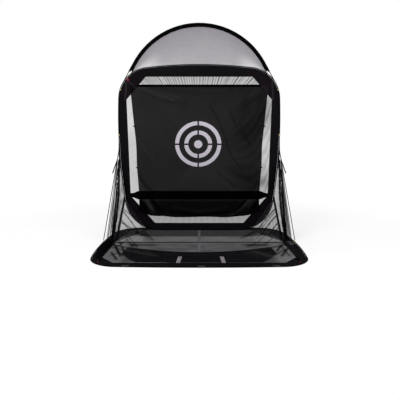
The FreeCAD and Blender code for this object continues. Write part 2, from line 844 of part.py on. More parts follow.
def make_rebound_strap():
    """The wide elastic band behind the sheet, narrower where it meets the side borders."""
    middle = (strap_low + strap_high) / 2
    end = window_half + strap_lap
    shoulder = window_half - strap_shoulder_inset
    low_end, high_end = middle - strap_end_height / 2, middle + strap_end_height / 2
    waist = window_half - strap_waist_inset
    half = [(shoulder, strap_high), (waist, high_end), (end, high_end)]
    half += [(end, low_end), (waist, low_end), (shoulder, strap_low)]
    face = polygon(mirrored(half), upright(cloth / 2 + layer_gap))
    save("rebound_strap", stand(slab(face, Vec(0, webbing, 0))))


def bag_loft(shrink, extra):
    """The bag's outer or inner form, through octagons that get smaller towards the back."""
    start = cloth / 2 + layer_gap + webbing + layer_gap
    sections = []
    levels = zip((start,) + bag_depths, (0.0,) + bag_insets, (0.0,) + bag_drops, bag_top_chamfers)
    for depth, inset, drop, chamfer in levels:
        reach = depth - (extra if depth > start else 0.0)
        outline = frame_window(-inset - shrink, drop, chamfer)
        points = [upright(reach)(a, b) for a, b in outline]
        sections.append(Part.makePolygon(points + points[:1]))
    return Part.makeLoft(sections, True, True)


def make_back_net():
    start = cloth / 2 + layer_gap + webbing + layer_gap
    shell = bag_loft(0.0, 0.0).cut(bag_loft(net_thickness, net_thickness))
    mouth = polygon(frame_window(-net_thickness / 2, 0.0, bag_top_chamfers[0]), upright(start))
    rim = polygon(frame_window(bag_lap, 0.0, bag_top_chamfers[0]), upright(start)).cut(mouth)
    rim = rim.extrude(Vec(0, net_thickness, 0))
    save("back_net", stand(shell.fuse(rim).removeSplitter().Solids[0]))

    radius = gather_elastic_diameter / 2
    behind = start + net_thickness + layer_gap + radius
    reach = window_half - top_cut_x
    up = window_top + bag_lap / 2
    ends = Part.LineSegment(Vec(-reach, behind, up), Vec(reach, behind, up)).toShape()
    save("gather_elastic", stand(round_bar(Part.Wire(ends), radius)))


def pole_route():
    """Corner points of the pole's right side, and the angle where it leaves the arch.

    The corner at the upper clip stands out, so that the bend itself lies behind the hem.
    From there the pole runs straight through the lower clip, and flares out below it.
    """
    middle = Vec(0, pole_offset, pole_apex - arch_radius)
    upper = Vec(frame_half(upper_clip_height, hem_radius), pole_offset, upper_clip_height)
    lower = Vec(frame_half(lower_clip_height, hem_radius), pole_offset, lower_clip_height)
    corner = upper
    for _ in range(6):
        away = corner - middle
        leaving = math.atan2(away.x, away.z) - math.acos(arch_radius / away.Length)
        slope = Vec(math.cos(leaving), 0, -math.sin(leaving))
        down = (lower - corner).normalize()
        half_turn = slope.getAngle(down) / 2
        corner = upper - (down - slope).normalize() * (clip_bend / math.cos(half_turn) - clip_bend)
    flare = lower + down * ((flare_height - lower.z) / down.z)
    return [corner, flare, Vec(pole_tip[0], pole_offset, pole_tip[1])], leaving


def arch_point(angle):
    """A point on the pole's arch, this far round from its top."""
    rise = pole_apex - arch_radius + arch_radius * math.cos(angle)
    return Vec(arch_radius * math.sin(angle), pole_offset, rise)


def pole_path(side):
    """One side of the pole, from its joint in the arch to its free tip."""
    half, leaving = pole_route()
    joint = math.radians(pole_joint_angle)
    arch = [arch_point(side * turn) for turn in (joint, (joint + leaving) / 2, leaving)]
    points = [arch[2]] + [Vec(side * point.x, point.y, point.z) for point in half]
    lower = rounded_path(points, [clip_bend, flare_bend])
    return Part.Wire([Part.Arc(*arch).toShape()] + lower.Edges)


def arch_arc(radius, angle, offset):
    """The arch's curve from one angle to the same angle on the other side."""
    up = pole_apex - arch_radius
    turns = (-angle, 0.0, angle)
    return Part.Arc(*[Vec(radius * math.sin(t), offset, up + radius * math.cos(t)) for t in turns])


def make_roof_pole():
    """A bent fibreglass pole in three lengths, joined by ferrules."""
    joint = math.radians(pole_joint_angle)
    centre = Part.Wire(arch_arc(arch_radius, joint, pole_offset).toShape())
    save("roof_pole_middle", stand(round_bar(centre, pole_radius)))
    half = pole_route()[0]
    left = round_bar(pole_path(-1), pole_radius)
    save("roof_pole_left", stand(left))
    save("roof_pole_right", stand(left.mirror(Vec(0, 0, 0), Vec(1, 0, 0))))
    ferrules = []
    caps = []
    for side in (-1, 1):
        spread = pole_ferrule_length / 2 / arch_radius
        points = [arch_point(side * (joint + share * spread)) for share in (-1, 0, 1)]
        short = Part.Wire(Part.Arc(*points).toShape())
        inner = pole_radius + ferrule_gap
        ferrules.append(stand(round_bar(short, inner + pole_ferrule_wall).cut(round_bar(short, inner))))
        tip = Vec(side * pole_tip[0], pole_offset, pole_tip[1])
        flare = Vec(side * half[1].x, pole_offset, half[1].z)
        caps.append(stand(tip_cap(tip, (flare - tip).normalize())))
    save("pole_ferrules", *ferrules)
    save("pole_end_caps", *caps)


def tip_cap(tip, inward):
    """The thicker cap over the pole's free end, closed at the bottom."""
    bore = pole_radius + ferrule_gap
    start = tip - inward * (tip_cap_wall + ferrule_gap)
    cap = Part.makeCylinder(bore + tip_cap_wall, tip_cap_length, start, inward)
    return cap.cut(Part.makeCylinder(bore, tip_cap_length, tip - inward * ferrule_gap, inward))


def sleeve_end(radius, leaving, side, beyond):
    """A point on the sleeve's straight end, this far past the arch."""
    up = pole_apex - arch_radius
    x = radius * math.sin(leaving) + beyond * math.cos(leaving)
    rise = radius * math.cos(leaving) - beyond * math.sin(leaving)
    return side * x, up + rise


def sleeve_path(radius, beyond):
    """The sleeve's line at a radius of the arch, with a straight end on each side."""
    leaving = pole_route()[1]
    arc = arch_arc(radius, leaving, pole_offset)
    lines = []
    for side, point in ((-1, arc.StartPoint), (1, arc.EndPoint)):
        a, b = sleeve_end(radius, leaving, side, beyond)
        lines.append(Part.LineSegment(Vec(a, pole_offset, b), point).toShape())
    return Part.Wire(Part.__sortEdges__([lines[0], arc.toShape(), lines[1]]))


def make_roof_sleeve():
    """The tunnel of cloth over the arch, with the flat flap that the net is sewn to."""
    bore = pole_radius + ferrule_gap + pole_ferrule_wall + sleeve_clearance
    path = sleeve_path(arch_radius, sleeve_straight)
    tunnel = round_bar(path, bore + sleeve_wall)
    outer = sleeve_path(arch_radius - bore, sleeve_straight)
    inner = sleeve_path(arch_radius - bore - sleeve_flap, sleeve_straight)
    ends = []
    for first, second in zip(end_points(outer), end_points(inner)):
        ends.append(Part.LineSegment(first, second).toShape())
    flap = Part.Face(Part.Wire(Part.__sortEdges__(outer.Edges + inner.Edges + ends)))
    flap.translate(Vec(0, -cloth / 2, 0))
    flap = flap.extrude(Vec(0, cloth, 0)).Solids[0]
    longer = sleeve_path(arch_radius, sleeve_straight + 5)
    sleeve = tunnel.fuse(flap).cut(round_bar(longer, bore)).removeSplitter()
    save("roof_sleeve", stand(sleeve.Solids[0]))


def end_points(wire):
    """The two ends of an open path, the left one first."""
    ends = [wire.OrderedVertexes[0].Point, wire.OrderedVertexes[-1].Point]
    return sorted(ends, key=lambda point: point.x)


def make_roof_net():
    """The fine net from the sleeve's flap down behind the frame's top border."""
    bore = pole_radius + ferrule_gap + pole_ferrule_wall + sleeve_clearance
    radius = arch_radius - bore - sleeve_flap - seam_gap
    arch = sleeve_path(radius, sleeve_straight)
    left, right = end_points(arch)
    below = Vec(0, pole_offset, frame_height - window_top_border)
    corners = [left, Vec(left.x, pole_offset, below.z), Vec(right.x, pole_offset, below.z), right]
    region = Part.Face(Part.Wire(Part.__sortEdges__(arch.Edges + Part.makePolygon(corners).Edges)))
    region = region.cut(Part.Face(frame_outline(hem_radius * 2 + roof_net_lap, pole_offset)))
    region = max(region.Faces, key=lambda face: face.Area)
    band = region.OuterWire.makeOffset2D(-roof_net_margin)
    margin = Part.Face(band)
    box = (left.x, frame_height - 90, right.x, pole_apex)
    lift = upright(pole_offset)
    back = Vec(0, net_thickness, 0)
    save("roof_net", stand(net(region, margin, lift, box, roof_net_pitch, roof_net_strand, back)))

    ties = []
    half = roof_tie_size[0] / 2
    for side in (-1, 1):
        beyond = sleeve_straight - roof_tie_inset
        a, b = sleeve_end(arch_radius - sleeve_flap / 2 - bore, pole_route()[1], side, beyond)
        front = pole_offset - cloth / 2 - layer_gap - webbing
        top, low = b + half, b + half - roof_tie_size[1]
        c = a - side * roof_tie_slant
        outline = [(a - half, top), (a + half, top), (c + half, low), (c - half, low)]
        face = polygon(outline, upright(front))
        ties.append(stand(slab(face, Vec(0, webbing, 0))))
    save("roof_corner_ties", *ties)


def pole_clip(up, side):
    """A clip that holds the pole behind the leg's hem: a block with two bores."""
    step = clip_length / 2
    narrower = frame_half(up - step, hem_radius) - frame_half(up + step, hem_radius)
    turn = -math.degrees(math.atan2(narrower, clip_length))
    x = frame_half(up, hem_radius)
    half = hem_radius + clip_clearance + clip_wall
    deep = pole_offset + pole_radius + clip_wall + half
    block = Part.makeBox(2 * half, deep, clip_length, Vec(-half, -half, -clip_length / 2))
    block = block.makeFillet(clip_wall, [edge for edge in block.Edges if upright_edge(edge)])
    bores = []
    for radius, offset in ((hem_radius, 0.0), (pole_radius, pole_offset)):
        start = Vec(0, offset, -clip_length)
        bores.append(Part.makeCylinder(radius + clip_clearance, 2 * clip_length, start, Vec(0, 0, 1)))
    slot = Part.makeBox(half * 2, cloth + 2 * layer_gap, 2 * clip_length,
                        Vec(-half * 2, -cloth / 2 - layer_gap, -clip_length))
    block = block.cut(bores + [slot])
    block = max(block.Solids, key=lambda solid: solid.Volume)
    block.rotate(Vec(0, 0, 0), Vec(0, 1, 0), turn)
    block.translate(Vec(x, 0, up))
    return block if side > 0 else block.mirror(Vec(0, 0, 0), Vec(1, 0, 0))


def upright_edge(edge):
    ends = [vertex.Point for vertex in edge.Vertexes]
    return abs(ends[0].x - ends[1].x) < 1e-6 and abs(ends[0].y - ends[1].y) < 1e-6


def make_frame_fittings():
    heights = (upper_clip_height, lower_clip_height)
    clips = [stand(pole_clip(up, side)) for up in heights for side in (-1, 1)]
    save("pole_clips", *clips)

    front = -cloth / 2 - layer_gap - webbing
    pockets = []
    low = window_top - top_cut_up
    for side in (-1, 1):
        bottom_x = side * (window_half + pocket_outset)
        top_x = bottom_x - side * pocket_lean
        half = pocket_width / 2
        outline = [(bottom_x - half, low), (bottom_x + half, low)]
        outline += [(top_x + half, low + pocket_height), (top_x - half, low + pocket_height)]
        pockets.append(stand(slab(polygon(outline, upright(front)), Vec(0, webbing, 0))))
    save("corner_pockets", *pockets)

    wide, deep = tag_size
    place = Vec(-window_half + frame_tag_inset[0], front, window_top - frame_tag_inset[1])
    save("frame_tag", stand(Part.makeBox(wide, webbing, deep, place)))


def make_side_strap(side, name):
    """The bound edge from the frame's leg down to the base, then along its side to the front."""
    radius = strap_diameter / 2
    leg = frame_half(strap_height, hem_radius)
    top = standing(side * leg, -(hem_radius + radius + layer_gap), strap_height)
    foot = strap_foot(side)
    front = Vec(side * (base_window_front_half + strap_diameter), strap_front_place, foot.z)
    path = rounded_path([top, foot, front], [strap_bend])
    print(name, "length", round(path.Length))
    save(name, round_bar(path, radius))


def triangle_net(first, second, third, name):
    """A flat triangular net with square gaps, between three points."""
    across = (second - first).normalize()
    normal = across.cross(third - first).normalize()
    up = normal.cross(across)

    def lift(a, b):
        return first + across * a + up * b

    length = first.distanceToPoint(second)
    reach = (third - first).dot(across)
    height = (third - first).dot(up)
    area = polygon([(0, 0), (length, 0), (reach, height)], lift)
    centre_a, centre_b = (length + reach) / 3, height / 3
    shrunk = []
    for a, b in ((0, 0), (length, 0), (reach, height)):
        inner_a = centre_a + (a - centre_a) * net_margin_share
        shrunk.append((inner_a, centre_b + (b - centre_b) * net_margin_share))
    box = (min(0, reach), 0, max(length, reach), height)
    back = normal * side_net_thickness
    save(name, net(area, polygon(shrunk, lift), lift, box, side_net_pitch, side_net_strand, back))


def in_order(side, rear, front):
    """The two lower corners of a side net, so that its thickness always goes inward."""
    return (rear, front) if side > 0 else (front, rear)


def make_side_nets(side, word):
    """The net between leg, strap and base, and the taller one outside the leg."""
    aside, ahead = side_net_corner
    low = Vec(side * (base_window_rear_half - rear_cut_x + aside), window_rear_y - ahead, floor_layer)
    foot = strap_foot(side) + Vec(0, side_net_start, 0)
    foot.z = floor_layer
    before_hem = -hem_radius - side_net_thickness - layer_gap
    leg = frame_half(strap_height, hem_radius)
    top = standing(side * leg, before_hem, strap_height - 2 * strap_diameter)
    triangle_net(*in_order(side, low, foot), top, "side_net_" + word)

    front_y = edge_clip_place + clip_length
    inboard = 2 * hem_radius + outer_net_inboard
    front = Vec(side * (base_half(front_y) - inboard), front_y, cloth + layer_gap)
    rear = Vec(side * (base_half(outer_net_rear) - inboard), outer_net_rear, cloth + layer_gap)
    beside_leg = frame_half(outer_net_height, 0.0) + outer_net_leg_gap
    peak = standing(side * beside_leg, before_hem, outer_net_height)
    triangle_net(*in_order(side, rear, front), peak, "outer_net_" + word)


def make_side_cords(side, word):
    """Two taut cords from the leg: to the clip's eye, and to the base's side hem."""
    radius = cord_diameter / 2
    eye_top = 2 * hem_radius + clip_eye_rise + clip_eye_radius + 2 * layer_gap
    ends = [
        ("side_cord_front_", outer_net_height + first_cord_rise, 0.0, edge_clip_place, eye_top + radius),
        ("side_cord_rear_", second_cord_height, second_cord_leg_gap, second_cord_place,
         2 * hem_radius + second_cord_seat * radius + layer_gap),
    ]
    for name, up, off, place, low in ends:
        leg = frame_half(up, 0.0) + radius + layer_gap + off
        top = standing(side * leg, 0.0, up)
        foot = Vec(side * (base_half(place) - hem_radius), place, low)
        print(name + word, "length", round(top.distanceToPoint(foot)))
        save(name + word, round_bar(Part.Wire(Part.LineSegment(top, foot).toShape()), radius))


def lobed_section(centre, radius, lobes, turn):
    """A level, closed outline of arcs that bulge outward, as gathered cloth has."""
    points = []
    for i in range(2 * lobes + 1):
        angle = turn + math.pi * i / lobes
        reach = radius * (bunch_pleat if i % 2 == 0 else 1.0)
        points.append(centre + Vec(reach * math.cos(angle), reach * math.sin(angle), 0))
    edges = []
    for i in range(0, 2 * lobes, 2):
        edges.append(Part.Arc(points[i], points[i + 1], points[(i + 2) % (2 * lobes)]).toShape())
    return Part.Wire(edges)


def make_gathered_net(side, word):
    """The gathered net that hangs beside the leg down to the base's side border."""
    leg = frame_half(bunch_top, 0.0)
    start = standing(side * (leg + bunch_radii[0] + layer_gap), -hem_radius, bunch_top)
    border_top = cloth + layer_gap
    foot_x = base_half(bunch_foot) - 2 * hem_radius - bunch_radii[-1] - bunch_inboard
    foot = Vec(side * foot_x, bunch_foot, border_top)
    sections = []
    steps = len(bunch_radii) - 1
    for i, radius in enumerate(bunch_radii):
        share = i / steps
        bend = Vec(side * bunch_bend[0], bunch_bend[1], 0) * math.sin(math.pi * share)
        centre = start + (foot - start) * share - bend
        sections.append(lobed_section(centre, radius, bunch_lobes, bunch_twist * i))
    save("side_bunch_" + word, Part.makeLoft(sections, True, True))


def make_net_tail():
    """The loose end of the left gathered net, heaped on the base's side border."""
    middle_y = bunch_foot - tail_gap - tail_length / 2
    border_top = cloth + layer_gap
    sections = []
    for share, size in tail_sections:
        y = middle_y + share * tail_length / 2
        x = -(base_half(y) - 2 * hem_radius - tail_width / 2 - tail_inboard)
        half, high = tail_width / 2 * size, tail_height * size
        shoulder = (half * tail_shoulder[0], high * tail_shoulder[1])
        corners = [(-half, 0.0), (-shoulder[0], shoulder[1]), (0.0, high), shoulder, (half, 0.0)]
        points = [Vec(x + a, y, border_top + b) for a, b in corners]
        edges = [Part.Arc(*points[:3]).toShape(), Part.Arc(*points[2:]).toShape()]
        edges.append(Part.LineSegment(points[-1], points[0]).toShape())
        sections.append(Part.Wire(edges))
    save("net_tail", Part.makeLoft(sections, True, True))


def make_base_cords():
    """The taut cord between the two straps' feet, and the slack one on the right border."""
    radius = cross_cord_diameter / 2
    reach = strap_foot(1).x - strap_diameter / 2 - layer_gap - cord_end_gap
    height = floor_layer + webbing + layer_gap + radius
    ends = [Vec(side * reach, strap_floor_place, height) for side in (-1, 1)]
    print("cross_cord length", round(2 * reach))
    save("cross_cord", round_bar(Part.Wire(Part.LineSegment(*ends).toShape()), radius))

    low = cloth + layer_gap + slack_cord_diameter / 2
    points = [Vec(x, y, low) for x, y in slack_cord_route]
    save("slack_cord", laid_cord("slack_cord", points, slack_cord_diameter))


make_base_ring()
make_base_border()
make_base_nets()
make_base_webbing()
make_hinge_loops()
make_base_cords()
make_frame_ring()
make_frame_border()
make_target_sheet()
make_rebound_strap()
make_back_net()
make_roof_pole()
make_roof_sleeve()
make_roof_net()
make_frame_fittings()
for side, word in ((-1, "left"), (1, "right")):
    make_side_strap(side, "side_strap_" + word)
    make_side_nets(side, word)
    make_side_cords(side, word)
    make_gathered_net(side, word)
make_net_tail()
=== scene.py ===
import bpy
import math
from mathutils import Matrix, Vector, noise


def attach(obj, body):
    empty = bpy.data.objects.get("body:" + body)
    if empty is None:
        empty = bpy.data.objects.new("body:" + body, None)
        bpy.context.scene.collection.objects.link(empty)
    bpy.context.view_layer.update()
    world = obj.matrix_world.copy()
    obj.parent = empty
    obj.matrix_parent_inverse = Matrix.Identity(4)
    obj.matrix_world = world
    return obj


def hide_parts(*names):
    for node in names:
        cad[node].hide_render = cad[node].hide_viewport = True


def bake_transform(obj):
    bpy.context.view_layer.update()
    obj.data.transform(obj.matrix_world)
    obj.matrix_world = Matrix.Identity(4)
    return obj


# A pop-up golf chipping net: a ring of cloth and net on the ground, a second ring that
# stands on it, a bent pole with a roof net above, and the target sheet hung in the middle.
# Metres. X is to the player's right, Y away from the player, Z up.

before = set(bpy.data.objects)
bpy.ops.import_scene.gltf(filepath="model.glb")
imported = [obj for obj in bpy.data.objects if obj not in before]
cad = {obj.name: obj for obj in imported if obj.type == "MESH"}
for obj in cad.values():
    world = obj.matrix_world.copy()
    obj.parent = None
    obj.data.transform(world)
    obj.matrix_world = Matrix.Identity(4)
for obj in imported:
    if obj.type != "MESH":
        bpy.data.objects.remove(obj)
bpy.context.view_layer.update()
print("frame loaded:", len(cad), "nodes")

# camera first
view = {"lens": 45.0, "sensor": 36.0, "place": (0.0, -5.0674, 1.3810), "downDegrees": 10.093, "shift": 0.002,
        "far": 60.0}

cameraData = bpy.data.cameras.new("viewCamera")
cameraData.lens = view["lens"]
cameraData.sensor_width = view["sensor"]
cameraData.shift_x = view["shift"]
cameraData.clip_end = view["far"]
camera = bpy.data.objects.new("viewCamera", cameraData)
camera.location = view["place"]
camera.rotation_euler = (math.radians(90.0 - view["downDegrees"]), 0.0, 0.0)
bpy.context.scene.collection.objects.link(camera)
bpy.context.scene.camera = camera

# the standing frame's own plane, and the two rings
lean = math.radians(8.0)
hinge = {"y": 0.649, "z": 0.00908}
hemRadius = 0.0057
baseRing = {
    "corners": [(0.744014, -0.464797, 0.290), (0.667, 0.448742, 0.310),
                (-0.667, 0.448742, 0.310), (-0.744014, -0.464797, 0.290)],
    "bows": [4.2, 14.0, 4.2, 14.0],
}
frameRing = {
    "corners": [(-0.465, 0.390, 0.390), (0.465, 0.390, 0.390),
                (0.525, 1.505268, 0.350), (-0.525, 1.505268, 0.350)],
    "bows": [0.0, 6.2, 5.0, 6.2],
}


def onGround(across, along, height):
    return Vector((across, along, height))


def onFrame(across, up, behind):
    rise = up - hemRadius
    y = hinge["y"] + behind * math.cos(lean) - rise * math.sin(lean)
    return Vector((across, y, hinge["z"] + behind * math.sin(lean) + rise * math.cos(lean)))


def mix(a, b, share):
    return a + (b - a) * share


def soften(share):
    share = min(1.0, max(0.0, share))
    return share * share * (3.0 - 2.0 * share)


def ripple(*where):
    return noise.noise(Vector(where))


def strokes(x, y, drawn):
    # the sum of soft strokes at a place: each has its points, its width and its strength
    total = 0.0
    for points, width, strength in drawn:
        off = math.inf
        for (ax, ay), (bx, by) in zip(points, points[1:]):
            dx, dy = bx - ax, by - ay
            share = min(1.0, max(0.0, ((x - ax) * dx + (y - ay) * dy) / (dx * dx + dy * dy)))
            off = min(off, math.hypot(x - ax - share * dx, y - ay - share * dy))
        if off < 3.0 * width:
            total += strength * math.exp(-(off / width) ** 2)
    return total


def bowCentre(first, second, bow):
    ax, ay, ar = first
    bx, by, br = second
    length = math.hypot(bx - ax, by - ay)
    along = ((bow - ar) ** 2 - (bow - br) ** 2 + length ** 2) / (2.0 * length)
    aside = math.sqrt((bow - ar) ** 2 - along ** 2)
    ex, ey = (bx - ax) / length, (by - ay) / length
    return ax + along * ex - aside * ey, ay + along * ey + aside * ex


def ringLine(ring, inset, step=0.005):
    # points round a ring, each with the direction that points out of it
    corners, bows = ring["corners"], ring["bows"]
    count = len(corners)
    starts, ends, centres = [0.0] * count, [0.0] * count, [None] * count
    for i in range(count):
        after = (i + 1) % count
        if bows[i]:
            centres[i] = bowCentre(corners[i], corners[after], bows[i])
            x, y = centres[i]
            ends[i] = math.atan2(corners[i][1] - y, corners[i][0] - x)
            starts[after] = math.atan2(corners[after][1] - y, corners[after][0] - x)
        else:
            ends[i] = starts[after] = -math.pi / 2
    line = []

    def walkArc(x, y, radius, begin, finish):
        if finish < begin:
            finish += 2.0 * math.pi
        pieces = max(2, int(radius * (finish - begin) / step))
        for k in range(pieces):
            turn = mix(begin, finish, k / pieces)
            out = (math.cos(turn), math.sin(turn))
            line.append(((x + radius * out[0], y + radius * out[1]), out))

    for i in range(count):
        after = (i + 1) % count
        x, y, radius = corners[i]
        walkArc(x, y, radius - inset, starts[i], ends[i])
        if bows[i]:
            walkArc(centres[i][0], centres[i][1], bows[i] - inset, ends[i], starts[after])
        else:
            far = corners[after][0]
            pieces = int((far - x) / step)
            line += [((mix(x, far, k / pieces), y - radius + inset), (0.0, -1.0)) for k in range(pieces)]
    return line


def ringPart(line, first, last, count):
    # evenly spaced points of the ring between the two that are nearest to these places
    def nearest(place):
        return min(range(len(line)), key=lambda i: math.dist(line[i][0], place))
    start = nearest(first)
    span = (nearest(last) - start) % len(line)
    points = []
    for k in range(count + 1):
        at = start + span * k / count
        a, b = line[int(at) % len(line)][0], line[(int(at) + 1) % len(line)][0]
        share = at - int(at)
        points.append((mix(a[0], b[0], share), mix(a[1], b[1], share)))
    return points


def sideOf(line, level):
    # half width of a ring's outline at a place along it
    right = [(abs(y - level), x) for (x, y), _ in line if x > 0.3]
    return min(right)[1]


baseEdge = ringLine(baseRing, 0.0)
frameEdge = ringLine(frameRing, 0.0)


def selectOnly(*pieces):
    bpy.ops.object.select_all(action="DESELECT")
    for piece in pieces:
        piece.select_set(True)
    bpy.context.view_layer.objects.active = pieces[0]


def joinPieces(name, pieces):
    selectOnly(*pieces)
    if len(pieces) > 1:
        bpy.ops.object.join()
    piece = bpy.context.view_layer.objects.active
    piece.name = piece.data.name = name
    return piece


def closeSeams(piece):
    # merges the edges that meet, and turns a closed shell's faces outwards
    selectOnly(piece)
    bpy.ops.object.mode_set(mode="EDIT")
    bpy.ops.mesh.select_all(action="SELECT")
    bpy.ops.mesh.remove_doubles(threshold=0.00002)
    bpy.ops.mesh.normals_make_consistent(inside=False)
    bpy.ops.object.mode_set(mode="OBJECT")


def sewGrid(name, columns, rows, place, size, gather=None, rim=None, tone=None, closed=False):
    # a grid of cloth whose every point goes where place(u, v) says; its UV map is in metres
    bpy.ops.object.select_all(action="DESELECT")
    bpy.ops.mesh.primitive_grid_add(x_subdivisions=columns, y_subdivisions=rows, size=1.0)
    piece = bpy.context.view_layer.objects.active
    piece.name = piece.data.name = name
    mesh = piece.data
    shares = [(vertex.co.x + 0.5, vertex.co.y + 0.5) for vertex in mesh.vertices]
    uvs = mesh.uv_layers.active.data
    for loop in mesh.loops:
        u, v = shares[loop.vertex_index]
        uvs[loop.index].uv = (u * size[0], v * size[1])
    for word, value in (("gather", gather), ("rim", rim), ("tone", tone)):
        if value:
            layer = mesh.attributes.new(word, "FLOAT", "POINT")
            layer.data.foreach_set("value", [value(u, v) for u, v in shares])
    for vertex, (u, v) in zip(mesh.vertices, shares):
        vertex.co = place(u, v)
    mesh.update()
    if closed:
        closeSeams(piece)
    selectOnly(piece)
    bpy.ops.object.shade_smooth()
    return piece


def thicken(piece, thickness, side=0.0, bevel=0.0):
    wall = piece.modifiers.new("wall", "SOLIDIFY")
    wall.thickness = thickness
    wall.offset = side
    if bevel:
        edge = piece.modifiers.new("edge", "BEVEL")
        edge.width = bevel
        edge.segments = 1
        edge.limit_method = "ANGLE"
    selectOnly(piece)
    for modifier in list(piece.modifiers):
        bpy.ops.object.modifier_apply(modifier=modifier.name)
    bpy.ops.object.shade_smooth_by_angle(angle=math.radians(50.0))
    return piece


def dress(piece, finish, body=None, replaced=()):
    piece.data.materials.clear()
    piece.data.materials.append(finishes[finish])
    if replaced:
        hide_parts(*replaced)
    if body:
        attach(piece, body)


def spline(points, resolution=20):
    # the points that a smooth NURBS line makes between these control points
    data = bpy.data.curves.new("route", "CURVE")
    data.dimensions = "3D"
    data.resolution_u = resolution
    line = data.splines.new("NURBS")
    line.points.add(len(points) - 1)
    for spot, point in zip(line.points, points):
        spot.co = (*point, 1.0)
    line.order_u = 3
    line.use_endpoint_u = True
    route = bpy.data.objects.new("route", data)
    bpy.context.scene.collection.objects.link(route)
    bpy.context.view_layer.update()
    mesh = bpy.data.meshes.new_from_object(route.evaluated_get(bpy.context.evaluated_depsgraph_get()))
    found = [vertex.co.copy() for vertex in mesh.vertices]
    bpy.data.meshes.remove(mesh)
    bpy.data.objects.remove(route)
    bpy.data.curves.remove(data)
    return found


def tube(name, line, radius, sides=10, shape=None):
    # a closed tube along a line; shape(share, angle) may change its radius
    frames = []
    aside = None
    for i, point in enumerate(line):
        ahead = (line[min(i + 1, len(line) - 1)] - line[max(i - 1, 0)]).normalized()
        if aside is None:
            aside = ahead.orthogonal().normalized()
        aside = (aside - ahead * aside.dot(ahead)).normalized()
        frames.append((point, aside.copy(), ahead.cross(aside)))
    length = sum((b - a).length for a, b in zip(line, line[1:]))
    columns = len(line) + 1

    def place(u, v):
        k = round(u * columns)
        inner = min(max(k - 1, 0), len(line) - 1)
        point, first, second = frames[inner]
        if k == 0 or k == columns:
            return point.copy()
        angle = 2.0 * math.pi * v
        reach = radius * (shape(inner / (len(line) - 1), angle) if shape else 1.0)
        return point + (first * math.cos(angle) + second * math.sin(angle)) * reach

    return sewGrid(name, columns, sides, place, (length, 2.0 * math.pi * radius), closed=True)


# materials: the ways to add nodes, then the shared effects, each a group of nodes


def addNode(tree, kind, inputs=None, **settings):
    # a node with its settings, and a number, a colour or a socket for each input that is named
    node = tree.nodes.new("ShaderNode" + kind)
    for word, value in settings.items():
        setattr(node, word, value)
    for word, value in (inputs or {}).items():
        feed(tree, value, node.inputs[word])
    return node


def feed(tree, value, socket):
    if isinstance(value, bpy.types.NodeSocket):
        tree.links.new(value, socket)
    else:
        socket.default_value = (*value, 1.0) if isinstance(value, tuple) else value


def calc(tree, kind, *values):
    return addNode(tree, "Math", dict(enumerate(values)), operation=kind).outputs[0]


def useGroup(tree, group, **values):
    return addNode(tree, "Group", values, node_tree=group).outputs


def splitVector(tree, vector):
    return addNode(tree, "SeparateXYZ", {0: vector}).outputs


def attributeOf(tree, word):
    return addNode(tree, "Attribute", attribute_name=word).outputs["Fac"]


def scaleColour(tree, colour, times):
    return addNode(tree, "VectorMath", {0: colour, "Scale": times}, operation="SCALE").outputs["Vector"]


def blendColours(tree, share, first, second):
    return addNode(tree, "Mix", {"Factor": share, "A": first, "B": second},
                   data_type="RGBA").outputs["Result"]


def bumpOf(tree, height, distance, strength, under=None):
    inputs = {"Strength": strength, "Distance": distance, "Height": height}
    if under is not None:
        inputs["Normal"] = under
    return addNode(tree, "Bump", inputs).outputs["Normal"]


def newGroup(name, inputs, outputs):
    # each input has its usual value, or None where it takes a vector
    group = bpy.data.node_groups.new(name, "ShaderNodeTree")
    for word, value in inputs.items():
        kind = "NodeSocketVector" if value is None else "NodeSocketFloat"
        socket = group.interface.new_socket(name=word, in_out="INPUT", socket_type=kind)
        if value is not None:
            socket.default_value = value
    for word in outputs:
        group.interface.new_socket(name=word, in_out="OUTPUT", socket_type="NodeSocketFloat")
    return group, group.nodes.new("NodeGroupInput").outputs, group.nodes.new("NodeGroupOutput").inputs


def makeWeaveGroup():
    # plain weave: threads that cross at right angles
    group, ins, outs = newGroup("clothWeave", {"Vector": None, "Thread": 0.0012}, ["Height"])
    parts = splitVector(group, ins["Vector"])
    waves = []
    for axis in ("X", "Y"):
        turns = calc(group, "DIVIDE", parts[axis], ins["Thread"])
        waves.append(calc(group, "SINE", calc(group, "MULTIPLY", turns, math.pi)))
    both = calc(group, "MULTIPLY", *waves)
    feed(group, calc(group, "MULTIPLY_ADD", both, 0.5, 0.5), outs["Height"])
    return group


def makeMeshGroup():
    # strands of a knitted net: 1 on a strand, 0 in a hole
    group, ins, outs = newGroup("netStrands", {"Vector": None, "Pitch": 0.009}, ["Strand"])
    parts = splitVector(group, ins["Vector"])
    lines = []
    for kind in ("ADD", "SUBTRACT"):
        turns = calc(group, "DIVIDE", calc(group, kind, parts["X"], parts["Y"]), ins["Pitch"])
        wave = calc(group, "COSINE", calc(group, "MULTIPLY", turns, 2.0 * math.pi))
        lines.append(calc(group, "MULTIPLY_ADD", wave, 0.5, 0.5))
    feed(group, calc(group, "POWER", calc(group, "MAXIMUM", *lines), 2.0), outs["Strand"])
    return group


def makeMottleGroup():
    # soft uneven patches, as cloth has where it is rubbed, creased or dusty
    group, ins, outs = newGroup("clothMottle", {"Vector": None, "Scale": 6.0}, ["Patches", "Creases"])
    for word, kind, detail, times in (("Patches", "FBM", 4.0, 1.0),
                                      ("Creases", "RIDGED_MULTIFRACTAL", 3.0, 1.7)):
        scale = calc(group, "MULTIPLY", ins["Scale"], times)
        inputs = {"Vector": ins["Vector"], "Scale": scale, "Detail": detail}
        feed(group, addNode(group, "TexNoise", inputs, noise_type=kind).outputs["Fac"], outs[word])
    return group


